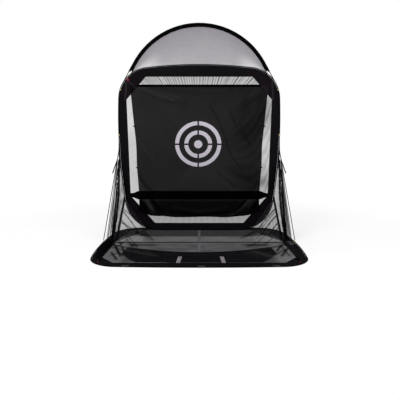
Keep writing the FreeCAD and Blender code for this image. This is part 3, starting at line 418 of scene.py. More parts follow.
# a panel's sewn edge: rows of thread dashes at these distances from it, on a bound edge
seam = {"rows": (0.005, 0.011), "halfThread": 0.0008, "dash": 0.0055, "shown": 0.62,
        "bound": 0.8, "boundColour": (0.0008, 0.0007, 0.0009)}


def makeStitchGroup():
    group, ins, outs = newGroup("stitchRow", {"Along": 0.0, "Rim": 0.0, "Place": 0.006}, ["Thread"])
    off = calc(group, "ABSOLUTE", calc(group, "SUBTRACT", ins["Rim"], ins["Place"]))
    near = calc(group, "LESS_THAN", off, seam["halfThread"])
    dash = calc(group, "FRACT", calc(group, "DIVIDE", ins["Along"], seam["dash"]))
    shown = calc(group, "LESS_THAN", dash, seam["shown"])
    feed(group, calc(group, "MULTIPLY", near, shown), outs["Thread"])
    return group


weaveGroup = makeWeaveGroup()
meshGroup = makeMeshGroup()
mottleGroup = makeMottleGroup()
stitchGroup = makeStitchGroup()


def startMaterial(name, look):
    material = bpy.data.materials.new(name)
    material.use_nodes = True
    tree = material.node_tree
    shader = tree.nodes["Principled BSDF"].inputs
    shader["Roughness"].default_value = look.get("roughness", 0.8)
    shader["Specular IOR Level"].default_value = look.get("specular", 0.2)
    shader["Metallic"].default_value = look.get("metallic", 0.0)
    return material, tree, shader, addNode(tree, "TexCoord").outputs


def clothMaterial(name, look):
    # woven cloth with rubbed patches and soft creases; a panel with a bound edge has rows of stitches too
    material, tree, shader, where = startMaterial(name, look)
    mottle = useGroup(tree, mottleGroup, Vector=where["Object"], Scale=6.0)
    weave = useGroup(tree, weaveGroup, Vector=where["UV"], Thread=look.get("thread", 0.0012))
    colour = blendColours(tree, mottle["Patches"], look["dark"], look["light"])
    if "binding" in look:
        rim, along = attributeOf(tree, "rim"), splitVector(tree, where["UV"])["X"]
        rows = [useGroup(tree, stitchGroup, Along=along, Rim=rim, Place=place)["Thread"]
                for place in seam["rows"]]
        # the bound edge is blacker than the panel
        bound = calc(tree, "MULTIPLY", calc(tree, "LESS_THAN", rim, look["binding"]), seam["bound"])
        colour = blendColours(tree, bound, colour, seam["boundColour"])
        colour = blendColours(tree, calc(tree, "MAXIMUM", *rows), colour, look["threadColour"])
    if look.get("tone"):
        # painted light: lighter or darker where other cloth lies behind the mesh, and a painted highlight on
        # a fold
        colour = scaleColour(tree, colour, calc(tree, "ADD", attributeOf(tree, "tone"), 1.0))
    feed(tree, colour, shader["Base Color"])
    feed(tree, calc(tree, "MULTIPLY_ADD", mottle["Patches"], 0.2, 0.7), shader["Roughness"])
    creased = bumpOf(tree, mottle["Creases"], look.get("crease", 0.002), 0.35)
    feed(tree, bumpOf(tree, weave["Height"], 0.0004, 0.4, creased), shader["Normal"])
    return material


def netMaterial(name, look):
    # a thin net: how much it covers changes with its strands, its folds and where it is gathered
    material, tree, shader, where = startMaterial(name, look)
    strands = useGroup(tree, meshGroup, Vector=where["UV"], Pitch=look["pitch"])["Strand"]
    mottle = useGroup(tree, mottleGroup, Vector=where["Object"], Scale=look.get("patch", 5.0))
    gather = attributeOf(tree, "gather")
    colour = blendColours(tree, mottle["Patches"], look["dark"], look["light"])
    if "deep" in look:
        # painted shade: where it is gathered, the net lies double and its colour is darker; on the floor net
        # it also darkens beside the cords
        colour = scaleColour(tree, colour, calc(tree, "MULTIPLY_ADD", gather, -look["deep"], 1.0))
    feed(tree, colour, shader["Base Color"])
    cover = calc(tree, "MULTIPLY_ADD", strands, look["strand"], look["cover"] - 0.45 * look["strand"])
    uneven = calc(tree, "MULTIPLY_ADD", mottle["Patches"], look["uneven"], -0.5 * look["uneven"])
    cover = calc(tree, "ADD", cover, uneven)
    # a gathered place fills what is still open
    filled = calc(tree, "MULTIPLY_ADD", calc(tree, "SUBTRACT", 1.0, cover), gather, cover)
    feed(tree, addNode(tree, "Clamp", {"Value": filled}).outputs["Result"], shader["Alpha"])
    feed(tree, bumpOf(tree, mottle["Creases"], 0.003, 0.4), shader["Normal"])
    return material


def plasticMaterial(name, look):
    # moulded or drawn stuff: fine grain, and lighter where it has been handled
    material, tree, shader, where = startMaterial(name, look)
    mottle = useGroup(tree, mottleGroup, Vector=where["Object"], Scale=look.get("patch", 60.0))
    feed(tree, blendColours(tree, mottle["Patches"], look["dark"], look["light"]), shader["Base Color"])
    rough = calc(tree, "MULTIPLY_ADD", mottle["Creases"], 0.15, look["roughness"] - 0.05)
    feed(tree, rough, shader["Roughness"])
    feed(tree, bumpOf(tree, mottle["Patches"], 0.0003, 0.3), shader["Normal"])
    return material


def cordMaterial(name, look):
    # braid: diagonal strands that cross as they go round the cord
    material, tree, shader, where = startMaterial(name, look)
    parts = splitVector(tree, where["UV"])
    lines = []
    for kind in ("ADD", "SUBTRACT"):
        slant = calc(tree, kind, parts["X"], parts["Y"])
        lines.append(calc(tree, "SINE", calc(tree, "MULTIPLY", slant, 2.0 * math.pi / look["braid"])))
    share = calc(tree, "MULTIPLY_ADD", calc(tree, "MAXIMUM", *lines), 0.5, 0.5)
    feed(tree, blendColours(tree, share, look["dark"], look["light"]), shader["Base Color"])
    feed(tree, bumpOf(tree, share, 0.0008, 0.7), shader["Normal"])
    return material


clothLooks = {
    "hemCloth": {"dark": (0.0006, 0.0006, 0.0008), "light": (0.0022, 0.002, 0.0025), "specular": 0.01,
                 "crease": 0.003},
    "borderCloth": {"dark": (0.003, 0.0027, 0.0034), "light": (0.0070, 0.0062, 0.0077), "specular": 0.015,
                    "crease": 0.004, "threadColour": (0.014, 0.013, 0.016), "binding": 0.009},
    "groundCloth": {"dark": (0.0018, 0.0016, 0.002), "light": (0.0045, 0.0041, 0.005), "specular": 0.01,
                    "crease": 0.004, "threadColour": (0.010, 0.009, 0.011), "binding": 0.008},
    "gussetCloth": {"dark": (0.004, 0.003, 0.004), "light": (0.008, 0.006, 0.008), "specular": 0.015,
                    "crease": 0.004, "threadColour": (0.016, 0.013, 0.016), "binding": 0.009,
                    "thread": 0.002, "tone": True},
    "strapWebbing": {"dark": (0.0008, 0.0008, 0.0009), "light": (0.002, 0.002, 0.0024), "specular": 0.02,
                     "thread": 0.002},
    "greyWebbing": {"dark": (0.12, 0.11, 0.125), "light": (0.20, 0.185, 0.205), "specular": 0.1,
                    "thread": 0.002},
    "ribbonWebbing": {"dark": (0.07, 0.065, 0.072), "light": (0.115, 0.107, 0.118), "specular": 0.1,
                      "thread": 0.002},
    "darkWebbing": {"dark": (0.012, 0.0115, 0.0125), "light": (0.03, 0.028, 0.031), "specular": 0.1,
                    "thread": 0.002},
    "pocketCloth": {"dark": (0.010, 0.009, 0.011), "light": (0.018, 0.016, 0.019), "specular": 0.05,
                    "thread": 0.0015},
    "whiteElastic": {"dark": (0.55, 0.54, 0.53), "light": (0.75, 0.74, 0.72), "specular": 0.3,
                     "thread": 0.0015},
    "redTag": {"dark": (0.16, 0.008, 0.014), "light": (0.28, 0.016, 0.022), "specular": 0.1, "thread": 0.001},
}
netLooks = {
    "roofNetting": {"dark": (0.055, 0.044, 0.064), "light": (0.098, 0.074, 0.112),
                    "cover": 0.64, "strand": 0.30, "uneven": 0.12, "pitch": 0.007},
    "bagNetting": {"dark": (0.05, 0.05, 0.053), "light": (0.10, 0.10, 0.104),
                   "cover": 0.27, "strand": 0.30, "uneven": 0.2, "pitch": 0.010},
    "floorNetting": {"dark": (0.02, 0.018, 0.021), "light": (0.04, 0.036, 0.041), "specular": 0.01,
                     "deep": 0.75, "cover": 0.84, "strand": 0.15, "uneven": 0.14, "pitch": 0.010},
    "panelNetting": {"dark": (0.0015, 0.0014, 0.0018), "light": (0.0045, 0.0042, 0.0052), "specular": 0.01,
                     "cover": 0.25, "strand": 0.12, "uneven": 0.1, "pitch": 0.010},
    "sideNetting": {"dark": (0.012, 0.011, 0.013), "light": (0.03, 0.027, 0.031), "specular": 0.02,
                    "deep": 0.8, "cover": 0.50, "strand": 0.20, "uneven": 0.16, "pitch": 0.010},
    "upperNetting": {"dark": (0.012, 0.011, 0.013), "light": (0.03, 0.027, 0.032), "specular": 0.02,
                     "deep": 0.8, "cover": 0.50, "strand": 0.20, "uneven": 0.30, "pitch": 0.009,
                     "patch": 22.0},
    "outerNetting": {"dark": (0.008, 0.008, 0.009), "light": (0.02, 0.019, 0.021), "specular": 0.02,
                     "deep": 0.8, "cover": 0.09, "strand": 0.14, "uneven": 0.06, "pitch": 0.010},
    "bunchNetting": {"dark": (0.0015, 0.0015, 0.002), "light": (0.008, 0.0075, 0.0088), "specular": 0.02,
                     "cover": 0.70, "strand": 0.2, "uneven": 0.9, "pitch": 0.008, "patch": 30.0},
    "heapNetting": {"dark": (0.0006, 0.0006, 0.0008), "light": (0.0042, 0.0039, 0.0046), "specular": 0.0,
                    "cover": 0.92, "strand": 0.1, "uneven": 0.3, "pitch": 0.008, "patch": 30.0},
}
cordLooks = {
    "blackCord": {"dark": (0.001, 0.001, 0.0013), "light": (0.006, 0.0055, 0.0065), "braid": 0.004,
                  "specular": 0.02},
}
hardLooks = {
    "springSteel": {"dark": (0.35, 0.35, 0.36), "light": (0.5, 0.5, 0.5), "metallic": 0.9, "roughness": 0.35,
                    "specular": 0.5},
    "ferruleMetal": {"dark": (0.55, 0.55, 0.56), "light": (0.7, 0.7, 0.7), "metallic": 1.0, "roughness": 0.3,
                     "specular": 0.5},
    "poleGlass": {"dark": (0.002, 0.002, 0.0025), "light": (0.007, 0.007, 0.0078), "roughness": 0.4,
                  "specular": 0.12, "patch": 25.0},
    "capPlastic": {"dark": (0.003, 0.003, 0.0034), "light": (0.009, 0.009, 0.0098), "roughness": 0.45,
                   "specular": 0.12},
    "clipPlastic": {"dark": (0.38, 0.29, 0.16), "light": (0.52, 0.42, 0.25), "roughness": 0.4,
                    "specular": 0.5},
}
finishes = {}
for make, looks in ((clothMaterial, clothLooks), (netMaterial, netLooks), (cordMaterial, cordLooks),
                    (plasticMaterial, hardLooks)):
    for name, look in looks.items():
        finishes[name] = make(name, look)

hardNodes = {
    "springSteel": ["base_ring_wire", "frame_ring_wire"],
    "ferruleMetal": ["base_ring_ferrule", "frame_ring_ferrule", "pole_ferrules"],
    "poleGlass": ["roof_pole_middle", "roof_pole_left", "roof_pole_right"],
    "capPlastic": ["pole_end_caps"],
    "clipPlastic": ["pole_clips", "edge_clips"],
}
for finish, words in hardNodes.items():
    for word in words:
        for materialSlot in cad[word].material_slots:
            materialSlot.material = finishes[finish]
print("materials made")

# the straps and cords: their lines are the routes' own points
straps = {"radius": 0.0065, "leg": 0.420, "behind": -0.0125, "foot": (0.890, 0.095, 0.0101),
          "front": (0.938, -0.560, 0.0101), "near": 0.13, "length": 1.281}
sideCords = {  # how far up the leg, off its edge, along the base and above the ground, and the length
    "front": (0.952, 0.0, 0.108, 0.0270, 1.014),
    "rear": (0.775, 0.020, 0.274, 0.0133, 0.809),
}
sideCordLook = {"radius": 0.004, "off": 0.0043, "bends": (0.35, 0.7)}
groundCords = {
    "slackCord": {
        "node": "slack_cord", "radius": 0.003, "length": 0.680, "lay": "loose", "steps": 20,
        "points": [(x, y, 0.0049) for x, y in (
            (0.972, 0.175), (0.982, 0.112), (0.999, 0.046), (1.009, -0.030), (1.008, -0.112), (1.003, -0.194),
            (0.992, -0.275), (0.981, -0.350), (0.966, -0.425), (0.944, -0.495))]},
    "returnHemCord": {
        "node": "return_hem_cord", "radius": 0.0035, "length": 1.902, "lay": "loose", "steps": 60,
        "points": [(-0.889, -0.0062, 0.0054), (0.0, -0.5862, 0.0054), (0.889, -0.0062, 0.0054)]},
    "crossCord": {
        "node": "cross_cord", "radius": 0.003, "length": 1.762, "lay": "taut", "steps": 20,
        "points": [(x, 0.095, 0.0066) for x in (-0.881, -0.3, 0.3, 0.881)]},
}


def makeSideStrap(side, word):
    # bound edge from the leg to the base, then along its side
    top = onFrame(side * sideOf(frameEdge, straps["leg"]) - side * hemRadius, straps["leg"], straps["behind"])
    foot, front = [Vector((side * x, y, z)) for x, y, z in (straps["foot"], straps["front"])]
    before = foot + (top - foot).normalized() * straps["near"]
    after = foot + (front - foot).normalized() * straps["near"]
    line = spline([top, before, foot, after, front], 28)
    strap = tube("sideStrap" + word.capitalize(), line, straps["radius"], 12, lambda share, angle: (
        1.0 - 0.10 * max(0.0, math.sin(2.0 * angle)) + 0.04 * ripple(share * 60.0, angle, 3.0)))
    dress(strap, "strapWebbing", None, ["side_strap_" + word])
    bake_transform(strap)


def makeSideCord(side, word, which):
    # taut cord from the leg's edge to the base's edge
    up, off, along, low, length = sideCords[which]
    top = onFrame(side * (sideOf(frameEdge, up) + sideCordLook["off"] + off), up, 0.0)
    foot = Vector((side * (sideOf(baseEdge, along) - hemRadius), along, low))
    line = spline([top, *(top.lerp(foot, share) for share in sideCordLook["bends"]), foot], 14)
    cord = tube("sideCord" + which.capitalize() + word.capitalize(), line, sideCordLook["radius"], 8)
    dress(cord, "blackCord", None, ["side_cord_" + which + "_" + word])
    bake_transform(cord)


for side, word in ((-1.0, "left"), (1.0, "right")):
    makeSideStrap(side, word)
    for which in sideCords:
        makeSideCord(side, word, which)

for name, look in groundCords.items():
    line = spline(look["points"], look["steps"])
    cord = tube(name, line, look["radius"])
    dress(cord, "blackCord", "base", [look["node"]])
    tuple(line[0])
print("cords laid")


# hem sleeves: cloth tunnels round the two rings, pinched a little where they are sewn to the border
hem = {"step": 0.010, "sides": 14, "loose": 0.00045, "tight": 0.0002, "pinch": 0.0007}


def sewHem(name, ring, lift, level, body, node):
    line = ringLine(ring, hemRadius, hem["step"])
    count = len(line)
    length = sum(math.dist(line[i][0], line[i - 1][0]) for i in range(count))

    def place(u, v):
        k = round(u * count) % count
        (x, y), (ox, oy) = line[k]
        angle = 2.0 * math.pi * v
        loose = hem["loose"] * ripple(k * 0.9, 2.0 * math.cos(angle), 2.0 * math.sin(angle)) - hem["tight"]
        reach = hemRadius + loose
        reach -= hem["pinch"] * max(0.0, -math.cos(angle)) ** 6
        out = math.cos(angle) * reach
        return lift(x + ox * out, y + oy * out, level + math.sin(angle) * reach)

    piece = sewGrid(name, count, hem["sides"], place, (length, 2.0 * math.pi * hemRadius), closed=True)
    dress(piece, "hemCloth", body, [node])


sewHem("baseHem", baseRing, onGround, hemRadius, "base", "base_hem_sleeve")
sewHem("frameHem", frameRing, onFrame, 0.0, "main_frame", "frame_hem_sleeve")
print("hems sewn")


# borders: panels of cloth between a ring and its window; a notch leaves room for a hinge loop
onBase = {"edge": ringLine(baseRing, 0.0102), "lift": onGround, "level": 0.0009, "wave": 0.0004,
          "body": "base"}
onStand = {"edge": ringLine(frameRing, 0.0117), "lift": onFrame, "level": 0.0, "wave": 0.0008,
           "body": "main_frame"}
panelCloth = {"thickness": 0.0014, "notchHalf": 0.024, "notchDepth": 0.0036}
loopPlaces = (-0.400, -0.190, 0.190, 0.400)


def sewPanel(plane, outerEnds, innerEnds, columns, rows, notches=(), shade=None):
    outer = ringPart(plane["edge"], *outerEnds, columns)
    (ax, ay), (bx, by) = innerEnds
    inner = [(mix(ax, bx, k / columns), mix(ay, by, k / columns)) for k in range(columns + 1)]
    length = sum(math.dist(outer[k], outer[k + 1]) for k in range(columns))
    widths = [math.dist(a, b) for a, b in zip(outer, inner)]
    for k, (a, b) in enumerate(outer):
        if any(abs(a - x) < panelCloth["notchHalf"] for x in notches):
            outer[k] = (a, b + panelCloth["notchDepth"])

    def spot(u, v):
        k = round(u * columns)
        return mix(outer[k][0], inner[k][0], v), mix(outer[k][1], inner[k][1], v)

    def place(u, v):
        a, b = spot(u, v)
        return plane["lift"](a, b, plane["level"] + plane["wave"] * ripple(a * 7.0, b * 7.0, 1.0))

    def rim(u, v):
        return min(v, 1.0 - v) * widths[round(u * columns)]

    def tone(u, v):
        return shade(*spot(u, v))

    panel = sewGrid("panel", columns, rows, place, (length, max(widths)), rim=rim,
                    tone=tone if shade else None)
    return thicken(panel, panelCloth["thickness"])


def mirrored(ends):
    (ax, ay), (bx, by) = ends
    return (-bx, by), (-ax, ay)


def sewBorder(name, node, finish, slotName, plane, panels, both=True, **extra):
    # panels with their outer and inner ends, columns and rows; with both, the left ones are mirrored
    if both:
        panels = panels + [(mirrored(outer), mirrored(inner), *counts)
                           for outer, inner, *counts in reversed(panels)]
    sewn = [sewPanel(plane, *panel, **extra) for panel in panels]
    dress(joinPieces(name, sewn), finish, plane["body"], [node])


def gussetShade(x, up):
    # painted light: the sheet's corner shows through the gusset's mesh, and a fold on the left one catches a
    # painted highlight
    behind = soften((0.745 - abs(x)) / 0.012) * soften((1.672 - up) / 0.012)
    fold = strokes(x, up, [([(-0.760, 1.706), (-0.640, 1.600)], 0.010, 1.4)])
    return (0.55 if x > 0 else -0.6) * behind + fold


sewBorder("baseRearBorder", "base_rear_border", "groundCloth", "border_cloth", onBase, [
    (((0.790, 0.74), (-0.790, 0.74)), ((0.790, 0.663), (-0.790, 0.663)), 90, 8)], both=False)
sewBorder("baseFrontBorder", "base_front_border", "groundCloth", "border_cloth", onBase, [
    (((-0.800, -0.74), (0.800, -0.74)), ((-0.800, -0.620), (0.800, -0.620)), 90, 10)], both=False)
sewBorder("baseSideBorders", "base_side_borders", "groundCloth", "border_cloth", onBase, [
    (((1.02, -0.450), (1.02, 0.103)), ((0.925, -0.450), (0.905, 0.103)), 36, 8)])
sewBorder("baseCornerGussets", "base_corner_gussets", "groundCloth", "border_cloth", onBase, [
    (((0.800, -0.74), (1.02, -0.450)), ((0.800, -0.620), (0.925, -0.450)), 28, 10),
    (((1.02, 0.103), (0.790, 0.72)), ((0.905, 0.103), (0.790, 0.663)), 50, 12)])
sewBorder("frameTopBorder", "frame_top_border", "borderCloth", "border_cloth", onStand, [
    (((0.477, 1.87), (-0.477, 1.87)), ((0.570, 1.754), (-0.570, 1.754)), 90, 12)], both=False)
sewBorder("frameBottomBorder", "frame_bottom_border", "borderCloth", "border_cloth", onStand, [
    (((-0.465, 0.011), (0.465, 0.011)), ((-0.515, 0.092), (0.515, 0.092)), 96, 8)],
    both=False, notches=loopPlaces)
sewBorder("frameSideBorders", "frame_side_borders", "borderCloth", "border_cloth", onStand, [
    (((0.87, 0.425), (0.86, 1.512)), ((0.785, 0.425), (0.785, 1.512)), 70, 8)])
sewBorder("frameTopGussets", "frame_top_gussets", "gussetCloth", "gusset_mesh", onStand, [
    (((0.86, 1.512), (0.477, 1.87)), ((0.785, 1.512), (0.570, 1.754)), 60, 24)], shade=gussetShade)
sewBorder("frameBottomGussets", "frame_bottom_gussets", "gussetCloth", "gusset_mesh", onStand, [
    (((0.465, 0.011), (0.87, 0.425)), ((0.515, 0.092), (0.785, 0.425)), 56, 12)])
print("borders sewn")

# the nets that lie on the ground inside the base: half its window's width at places along it
baseWindow = [(-0.620, 0.800), (-0.450, 0.925), (0.103, 0.905), (0.663, 0.790)]
floorShape = {"front": -0.619, "rear": 0.662, "level": 0.0009}
panelShape = {"front": -0.618, "hemSide": -0.010, "hemMiddle": -0.300, "reach": 0.925, "level": 0.0026}


def between(steps, at):
    # the value at a place, straight between the listed ones
    for (low, a), (high, b) in zip(steps, steps[1:]):
        if at <= high:
            return mix(a, b, (max(at, low) - low) / (high - low))
    return steps[-1][1]


def windowHalf(y, less=0.0):
    return between(baseWindow, y) - less


def hemPlace(x):
    # the panel's rear edge sags forward between the straps
    sag = panelShape["hemSide"] - panelShape["hemMiddle"]
    return panelShape["hemMiddle"] + sag * (x / panelShape["reach"]) ** 2


# creases that run on from the side nets, forward and inward, and the denser patches
floorCreases = [
    ([(-0.853, 0.411), (-0.689, -0.059)], 0.012, 0.75), ([(-0.882, 0.232), (-0.739, -0.286)], 0.011, 0.8),
    ([(-0.890, 0.020), (-0.758, -0.424)], 0.012, 0.85), ([(-0.869, -0.286), (-0.780, -0.526)], 0.012, 0.8),
    ([(-0.831, -0.213), (-0.743, -0.390)], 0.009, 0.6), ([(-0.704, 0.411), (-0.822, 0.060)], 0.009, 0.55),
    ([(-0.831, 0.490), (-0.640, -0.086)], 0.010, 0.6), ([(-0.889, -0.105), (-0.744, -0.217)], 0.014, 0.6),
    ([(-0.764, 0.374), (-0.846, -0.086)], 0.010, 0.5), ([(-0.871, -0.41), (-0.81, -0.307)], 0.010, 0.5),
    ([(-0.66, 0.64), (-0.50, 0.20)], 0.010, 0.5), ([(-0.72, 0.56), (-0.505, 0.198)], 0.045, 0.35),
    ([(0.732, 0.514), (0.621, 0.241)], 0.012, 0.7), ([(0.789, 0.514), (0.633, 0.155)], 0.012, 0.75),
    ([(0.849, 0.374), (0.708, 0.072)], 0.012, 0.75), ([(0.889, 0.072), (0.778, -0.235)], 0.012, 0.8),
    ([(0.907, -0.124), (0.799, -0.410)], 0.012, 0.8), ([(0.840, 0.032), (0.876, -0.410)], 0.010, 0.5),
    ([(0.864, -0.199), (0.752, -0.342)], 0.012, 0.6), ([(0.681, 0.198), (0.492, -0.086)], 0.010, 0.5),
    ([(0.63, 0.562), (0.466, 0.28)], 0.018, 0.6), ([(-0.71, 0.0), (-0.50, 0.0)], 0.05, 0.5),
    ([(0.49, 0.0), (0.70, 0.0)], 0.05, 0.5),
]


def floorGatherAndShade(u, v):
    y = mix(floorShape["front"], floorShape["rear"], v)
    x = mix(-1.0, 1.0, u) * windowHalf(y)
    rearBand = 0.75 * soften((y - 0.33) / 0.06)
    # shade beside the taut cord and beside the panel's hem
    beside = 0.75 * math.exp(-((y - 0.095) / 0.016) ** 2) + 0.75 * math.exp(-((y - hemPlace(x)) / 0.018) ** 2)
    # patches where it lies double, and lighter corners
    double = 0.42 * soften((0.07 - y) / 0.04) * soften((0.74 - abs(x)) / 0.05)
    double *= 0.75 + 0.7 * ripple(x * 6.0, y * 9.0, 2.0)
    bright = 0.60 * soften((abs(x) - 0.58) / 0.06) * soften((y - 0.12) / 0.03) * soften((0.42 - y) / 0.06)
    bright += 0.45 * soften((abs(x) - 0.72) / 0.05) * soften((0.0 - y) / 0.05)
    clear = 0.16 + 0.45 * soften((y - 0.30) / 0.06) * soften((0.47 - y) / 0.06)
    clear *= soften((abs(x) - 0.64) / 0.05)
    return min(0.97, max(0.0, rearBand - clear) + double + beside + strokes(x, y, floorCreases) - bright)


def floorPlace(u, v):
    y = mix(floorShape["front"], floorShape["rear"], v)
    x = mix(-1.0, 1.0, u) * windowHalf(y, 0.0006)
    return Vector((x, y, floorShape["level"] + 0.0004 * ripple(x * 9.0, y * 9.0, 5.0)))


floorNet = sewGrid("floorNet", 200, 110, floorPlace, (1.85, 1.28), gather=floorGatherAndShade)
dress(floorNet, "floorNetting", "base", ["base_floor_net"])

# where the panel ends at the left and right, and its lighter folds
panelEnd = [(-0.62, 0.60), (-0.54, 0.665), (-0.342, 0.775), (-0.15, 0.755), (0.0, 0.73)]
panelFolds = [
    ([(-0.745, -0.19), (-0.43, -0.40)], 0.035, -0.26), ([(0.55, -0.27), (0.70, -0.43)], 0.05, -0.32),
    ([(0.435, -0.271), (0.564, -0.444)], 0.012, -0.22), ([(-0.30, -0.36), (0.36, -0.37)], 0.03, -0.05),
    ([(-0.60, -0.12), (-0.50, -0.26)], 0.03, -0.20), ([(0.28, -0.20), (0.34, -0.30)], 0.03, -0.10),
]


def panelSpot(u, v):
    across = mix(-1.0, 1.0, u)
    y = mix(panelShape["front"], hemPlace(across * panelShape["reach"]), v)
    return across * windowHalf(y, 0.003), y


def panelPlace(u, v):
    x, y = panelSpot(u, v)
    clear = soften((abs(abs(x - 0.016) - 0.206) - 0.03) / 0.03)  # flat under the two tabs
    lift = 0.0035 * (0.5 + 0.5 * math.sin(y * 42.0 + 5.0 * ripple(x * 1.6, y * 3.0, 2.0)))
    lift += 0.002 * (0.5 + ripple(x * 6.0, y * 10.0, 4.0))
    # the front edge is ruffled left of the middle
    ruffle = soften((-0.24 - x) / 0.06) * soften((x + 0.76) / 0.05) * soften((-0.575 - y) / 0.02)
    lift = lift * (1.0 - ruffle) + ruffle * 0.0045 * (1.0 + math.sin(x * 300.0))
    lift *= clear * soften((1.0 - v) / 0.05) * soften(v / 0.02 + 0.3)
    return Vector((x, y, panelShape["level"] + lift))


def panelGather(u, v):
    x, y = panelSpot(u, v)
    shut = soften((between(panelEnd, y) - abs(x)) / 0.02)
    dark = 0.985 + strokes(x, y, panelFolds) + 0.012 * ripple(x * 8.0, y * 16.0, 3.0)
    edge = 0.7 * soften((v - 0.97) / 0.03)
    return max(edge, mix(0.0, dark, shut) + (1.0 - shut) * strokes(x, y, floorCreases))


returnPanel = sewGrid("returnPanel", 220, 60, panelPlace, (1.85, 0.5), gather=panelGather)
dress(returnPanel, "panelNetting", "base", ["return_panel"])
print("floor nets laid")


# webbing: flat strips with rounded edges; up is the side that they show
def webbingStrip(name, start, finish, width, up, thickness=0.0014, wave=0.0003, columns=24):
    ahead = (finish - start).normalized()
    aside = ahead.cross(up).normalized()
    face = aside.cross(ahead).normalized()
    length = (finish - start).length

    def place(u, v):
        off = mix(-0.5, 0.5, v) * width
        curl = wave * ripple(u * length * 30.0, v * 1.5, start.x * 5.0)
        return start + ahead * (u * length) + aside * off + face * curl

    piece = sewGrid(name, columns, 6, place, (length, width))
    return thicken(piece, thickness, 0.0, thickness * 0.25)


onGroundCloth, onPanel = 0.0026, 0.0043  # the height of the middle of webbing that lies there


def laidStrip(name, start, finish, width, height=onGroundCloth, **extra):
    return webbingStrip(name, Vector((*start, height)), Vector((*finish, height)), width,
                        Vector((0, 0, 1)), **extra)


ribbon = {"front": (0.0, -0.235), "rear": (0.0, 0.6405), "width": 0.030}
ribbonStrip = laidStrip("centerRibbon", ribbon["front"], ribbon["rear"], ribbon["width"], columns=60)
dress(ribbonStrip, "ribbonWebbing", "base", ["center_ribbon"])

frontTab = {"middle": 0.016, "front": (0.212, -0.636), "rear": (0.200, -0.436), "width": 0.038}
tabs = []
for side in (-1.0, 1.0):
    ends = [(frontTab["middle"] + side * aside, y) for aside, y in (frontTab["front"], frontTab["rear"])]
    tabs.append(laidStrip("tab", *ends, frontTab["width"], onPanel))
dress(joinPieces("frontTabs", tabs), "greyWebbing", "base", ["front_tabs"])

# a row of light stitches where the panel's ruffled edge is laced to the border
lacing = {"y": -0.6225, "from": -0.642, "count": 19, "step": 0.0185, "long": 0.009, "rise": 0.003,
          "wide": 0.010}
lacingStitches = []
for k in range(lacing["count"]):
    x = lacing["from"] + k * lacing["step"]
    lacingStitches.append(laidStrip("stitch", (x - lacing["long"] / 2.0, lacing["y"]),
                                    (x + lacing["long"] / 2.0, lacing["y"] + lacing["rise"]), lacing["wide"],
                                    thickness=0.0010, wave=0.0, columns=4))
dress(joinPieces("panelLacing", lacingStitches), "greyWebbing", "base")

# red tags at the base's four corners: x, y, width and length
tagPlaces = [(0.772, 0.689, 0.015, 0.021), (-0.772, 0.689, 0.015, 0.021),
             (0.938, -0.599, 0.010, 0.014), (-0.938, -0.599, 0.010, 0.014)]
tags = [laidStrip("tag", (x, y - long / 2.0), (x, y + long / 2.0), wide, thickness=0.0013, wave=0.0)
        for x, y, wide, long in tagPlaces]
dress(joinPieces("baseTags", tags), "redTag", "base", ["base_tags"])


def wrap(y, z, radius, turns):
    return [(y + radius * math.cos(math.radians(turn)), z + radius * math.sin(math.radians(turn)))
            for turn in turns]


def strapAround(name, x, width, profile, turn=0.0, centre=(0.0, 0.0)):
    # a band of webbing that follows a profile of (y, z) points across its width
    steps = len(profile) - 1
    length = sum(math.dist(a, b) for a, b in zip(profile, profile[1:]))

    def place(u, v):
        y, z = profile[round(u * steps)]
        point = Vector((x + mix(-0.5, 0.5, v) * width, y, z))
        if not turn:
            return point
        dx, dy = point.x - centre[0], point.y - centre[1]
        return Vector((centre[0] + dx * math.cos(turn) - dy * math.sin(turn),
                       centre[1] + dx * math.sin(turn) + dy * math.cos(turn), point.z))

    piece = sewGrid(name, steps, 8, place, (length, width))
    return thicken(piece, 0.0013, 0.0, 0.0003)


# straps that go round the front hem and lie on its border, turned with the front edge's bow
closure = {"places": (-0.670, 0.020, 0.700), "width": 0.062, "radius": 0.0067, "bow": 14.0,
           "steps": (0.003, 0.010, 0.02, 0.03, 0.04, 0.048)}
closures = []
for x in closure["places"]:
    front = min((abs(px - x), py) for (px, py), _ in baseEdge if py < 0.0)[1] + hemRadius
    profile = wrap(front, hemRadius, closure["radius"], range(212, -31, -11))
    profile += [(front + closure["radius"] + step, onGroundCloth + 0.0004 * math.cos(step * 60.0))
                for step in closure["steps"]]
    closures.append(strapAround("closure", x, closure["width"], profile, math.asin(x / closure["bow"]),
                                (x, front)))
dress(joinPieces("closureStraps", closures), "darkWebbing", "base", ["closure_straps"])

# loops that hold the frame's lower edge to the base, each with a tail on the rear border
loopShape = {"radius": 0.0065, "width": 0.040, "tail": 0.072, "steps": (0.0, 0.02, 0.04, 0.06, 0.068)}
loops = []
for x in loopPlaces:
    profile = [(hinge["y"] + loopShape["tail"] - step, onGroundCloth) for step in loopShape["steps"]]
    profile += wrap(hinge["y"], hinge["z"], loopShape["radius"], range(-90, -392, -12))
    loops.append(strapAround("loop", x, loopShape["width"], profile))
dress(joinPieces("hingeLoops", loops), "strapWebbing", "base", ["hinge_loops"])
print("webbing sewn")

# the target sheet: levels from bottom to top, as up, half width, place behind the frame's plane
sheetLevels = [(0.170, 0.690, -0.009), (0.2496, 0.690, -0.009), (0.5004, 0.695, -0.013),
               (0.8008, 0.700, -0.016), (1.1012, 0.706, -0.012), (1.4016, 0.725, -0.003),
               (1.672, 0.745, 0.0074)]
sheetShape = {"top": 1.672, "topSag": 0.012, "low": 0.166, "creaseOut": -0.016, "creaseIn": 0.011}
